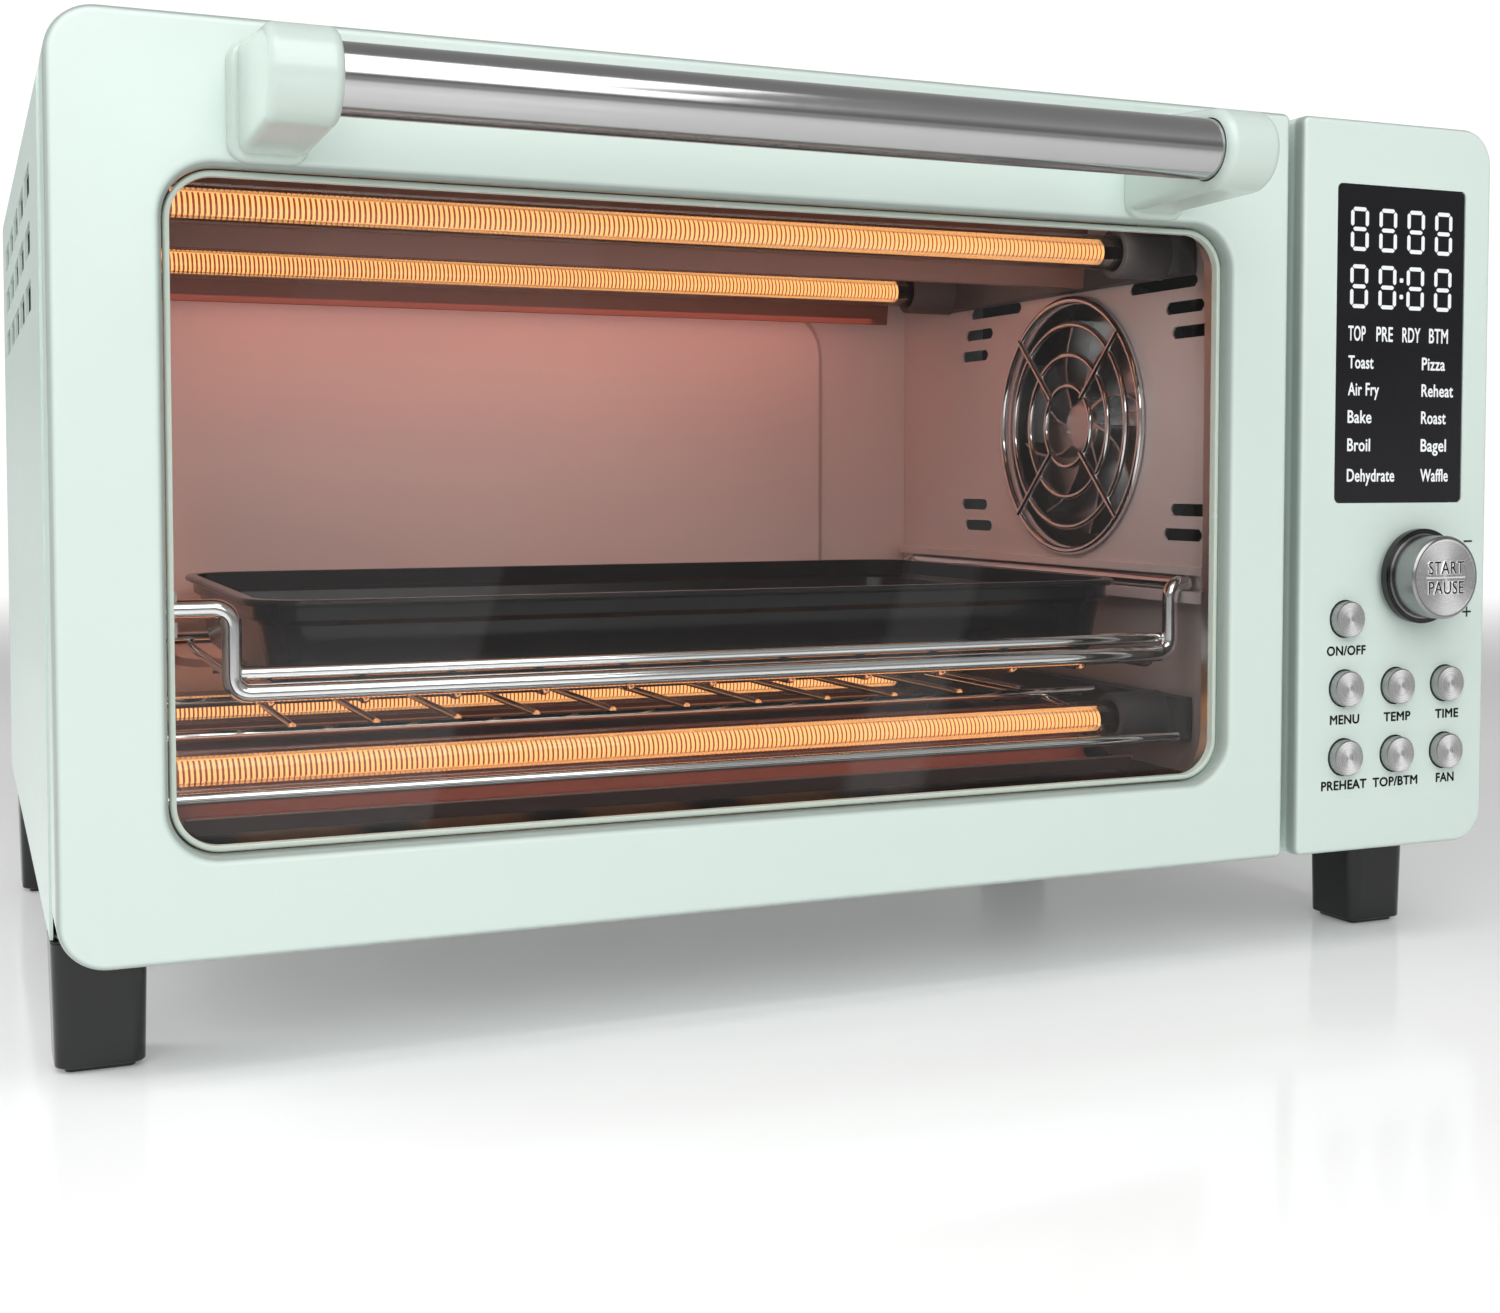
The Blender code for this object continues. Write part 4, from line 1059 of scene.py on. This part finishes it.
def makeKnob():
    s = knobSettings
    x, _, z = middleOf("knob")
    front, back = s["skirt"]
    straight, tapered = s["rim"]
    knob = barrel((x, (back + front) / 2, z), s["skirtRadius"], back - front, "y", 128)
    markFaces(knob, lambda place, way: way[1] < -0.9)
    grow(knob, s["skirtRadius"] - s["capRadius"])
    grow(knob, 0, (0, s["front"] + straight + tapered - front, 0))
    grow(knob, 0, (0, -straight, 0))
    grow(knob, 0, (0, -tapered, 0), (s["rimTaper"], 1, s["rimTaper"]))
    grow(knob, s["lip"][0])
    grow(knob, s["lip"][1], (0, s["dish"], 0))
    rest()
    softened(knob, s["edge"], 2, 35.0)
    finished(knob, "startKnob", spunCap("knobFace", spot(x, 0, z), s["colour"], s["roughness"], s["face"],
                                        s["sideShade"], s["skirtFrom"]), "knob")

    face = s["front"] + s["dish"]
    words = [putText(text, x - s["wordWidth"] / 2, face + s["wordFront"], z + level, s["wordHeight"],
                     s["wordWidth"], s["wordWeight"], s["wordDepth"], s["wordBevel"]) for text, level in s["words"]]
    (long, wide), (start, end) = s["bar"], s["barDepth"]
    bar = block(x - long, x + long, face + start, face + end, z - wide, z + wide)
    words.append(softened(bar, s["barEdge"], 2, 50.0))
    letters = finished(gathered(words), "knobWords", wordFinish, body="knob")


def makeButtons():
    s = buttonSettings
    for button in s["names"]:
        node = "button_" + button
        x, _, z = middleOf(node)
        cap = barrel((x, 0.0, z), s["radius"], s["length"], "y", 96)
        markFaces(cap, lambda place, way: way[1] < -0.9)
        for inset, depth in s["steps"]:
            grow(cap, inset, (0, depth, 0))
        rest()
        softened(cap, s["edge"], 2, 35.0)
        words = button.split("_")
        name = words[0] + "".join(word.capitalize() for word in words[1:]) + "Button"
        finish = spunCap(name + "Face", spot(x, 0, z), s["colour"], s["roughness"], s["face"], s["sideShade"],
                         s["skirt"])
        finished(cap, name, finish, node)


makePanel()
makeLabels()
makeDisplay()
makeKnob()
makeButtons()
print("panel done")


screwSettings = {"head": 3.2, "rise": 1.2, "dome": 0.6, "slot": (1.7, 0.4, 0.35), "fromSide": 14.0,
                 "fromEnd": 10.0, "middleFromSide": 9.0}


def screw(x, y, z):
    # a domed head with a cross, on the back
    s = screwSettings
    top = y + s["rise"]
    head = barrel((x, y + s["rise"] / 2, z), s["head"], s["rise"], "y", 32)
    roundEdges(head, s["dome"], lambda place, way: abs(way[1]) < 0.5 and abs(place[1] - top) < 0.02, 3)
    long, deep, wide = s["slot"]
    cross = carve(block(x - long, x + long, top - deep, top + deep, z - wide, z + wide),
                  block(x - wide, x + wide, top - deep, top + deep, z - long, z + long), operation="UNION")
    return carve(head, cross)


def makeScrews():
    s = screwSettings
    low, high = size("rear_cover")
    middle = (low + high) / 2
    places = [(x, z) for x in (low[0] + s["fromSide"], middle[0], high[0] - s["fromSide"])
              for z in (low[2] + s["fromEnd"], high[2] - s["fromEnd"])]
    places += [(x, middle[2]) for x in (low[0] + s["middleFromSide"], high[0] - s["middleFromSide"])]
    heads = finished(gathered([screw(x, high[1], z) for x, z in places]), "coverScrews", finishes["motor_steel"],
                     body="oven_body")


makeScrews()
print("fasteners done")

# every CAD node that still shows gets its finish
for name, node in nodes.items():
    node.data.materials.clear()
    node.data.materials.append(finishes[slotOfNode[name]].material)


studioSettings = {"floorSize": 12.0, "floorColour": (0.97, 0.97, 0.97), "floorLift": 0.13, "fade": (0.9, 2.4),
                  "camera": (-23.4, -513.2, 129.4), "lens": 45.26, "shiftY": -0.0664, "tilt": 0.0431, "turn": 0.401,
                  "world": 0.43, "backdrop": 1.05,
                  "sky": ((0.0, 1.0), (0.495, 1.0), (0.53, 0.5), (0.60, 0.6), (0.70, 1.1), (0.86, 0.8), (1.0, 0.7))}
# each light's place, aim, width, height and power, and whether it leaves a reflection of itself
softboxes = {"overheadSoftbox": ((-0.3, -0.9, 1.3), (0.0, 0.0, 0.15), 1.6, 0.9, 11.5, True),
             "frontStrip": ((-0.4, -1.4, 0.78), (-0.2, -0.17, 0.2), 1.8, 0.5, 6.6, True),
             "leftSoftbox": ((-1.5, 0.45, 0.6), (-0.2, 0.05, 0.15), 0.9, 1.0, 11.0, False),
             "rightSoftbox": ((1.4, -0.9, 0.8), (0.1, 0.0, 0.15), 0.8, 1.2, 0.8, False)}
# warm lights inside, placed and aimed in oven millimetres, that light the cavity without being seen
embers = {"topGlow": ((200, 110, 196), (200, 200, 120), 0.32, 0.05, 0.189, (1.0, 0.42, 0.30)),
          "wallGlow": ((200, 232, 199), (200, 262, 172), 0.30, 0.02, 0.0672, (1.0, 0.3, 0.22)),
          "trayGlow": ((200, 70, 36), (200, 72, 18), 0.32, 0.05, 0.0924, (1.0, 0.3, 0.2)),
          "bottomGlow": ((200, 150, 52), (200, 200, 160), 0.32, 0.05, 0.378, (1.0, 0.42, 0.30)),
          "doorFill": ((200, 34, 180), (200, 240, 110), 0.32, 0.08, 0.2, (1.0, 0.93, 0.92))}


def areaLight(name, place, aim, width, height, power):
    rest()
    bpy.ops.object.light_add(type="AREA", location=place)
    light = bpy.context.object
    light.name = name
    light.data.shape = "RECTANGLE"
    light.data.size, light.data.size_y = width, height
    light.data.energy = power
    light.rotation_euler = (Vector(aim) - Vector(place)).to_track_quat("-Z", "Y").to_euler()
    return light


def makeLights():
    for name, (*setup, reflected) in softboxes.items():
        areaLight(name, *setup).visible_glossy = reflected
    for name, (place, aim, *setup, colour) in embers.items():
        light = areaLight(name, spot(*place), spot(*aim), *setup)
        light.data.color = colour
        light.visible_camera = light.visible_glossy = False


def makeFloor():
    s = studioSettings
    rest()
    bpy.ops.mesh.primitive_plane_add(size=s["floorSize"])
    floor = settled()
    floor.name = "floor"
    finish = Finish("floorGloss", s["floorColour"], 0.12, Emission_Color=(1.0, 1.0, 1.0, 1.0),
                    Emission_Strength=s["floorLift"])
    finish.feed(Roughness=finish.spread(finish.noise(3.0, 2.0), 0.09, 0.14))
    distance = finish.value("ShaderNodeVectorMath", {"operation": "LENGTH"}, finish.place(), output=1)
    fade = finish.value("ShaderNodeMapRange", {"interpolation_type": "SMOOTHSTEP"}, distance, *s["fade"])
    clearFloor = finish.add("ShaderNodeBsdfTransparent", {}).outputs[0]
    finish.surface(finish.add("ShaderNodeMixShader", {}, fade, finish.shader.outputs[0], clearFloor).outputs[0])
    floor.data.materials.append(finish.material)


def makeCamera():
    s = studioSettings
    rest()
    bpy.ops.object.camera_add(location=spot(*s["camera"]), rotation=(math.pi / 2 - s["tilt"], 0, -s["turn"]))
    camera = bpy.context.object
    camera.data.lens = s["lens"]
    camera.data.sensor_width = 36.0
    camera.data.shift_y = s["shiftY"]
    camera.data.clip_start = 0.01
    bpy.context.scene.camera = camera


def makeWorld():
    # a plain white backdrop for the camera, and a shaded sky for light and reflections
    s = studioSettings
    world = bpy.data.worlds.new("studioWorld")
    bpy.context.scene.world = world
    world.use_nodes = True
    sky = NodeTree(world.node_tree)
    height = sky.split(sky.add("ShaderNodeTexCoord", {}).outputs["Generated"])[2] * 0.5 + 0.5
    grey = sky.add("ShaderNodeValToRGB", {"stops": s["sky"]}, height).outputs[0]
    seen = sky.value("ShaderNodeLightPath", {})
    background = sky.tree.nodes["Background"]
    sky.plug(background.inputs["Color"], sky.tint(seen, grey, (1.0, 1.0, 1.0)))
    sky.plug(background.inputs["Strength"], sky.spread(seen, s["world"], s["backdrop"]))
    bpy.context.scene.view_settings.view_transform = "Standard"


makeFloor()
makeCamera()
makeLights()
makeWorld()
print("studio done")
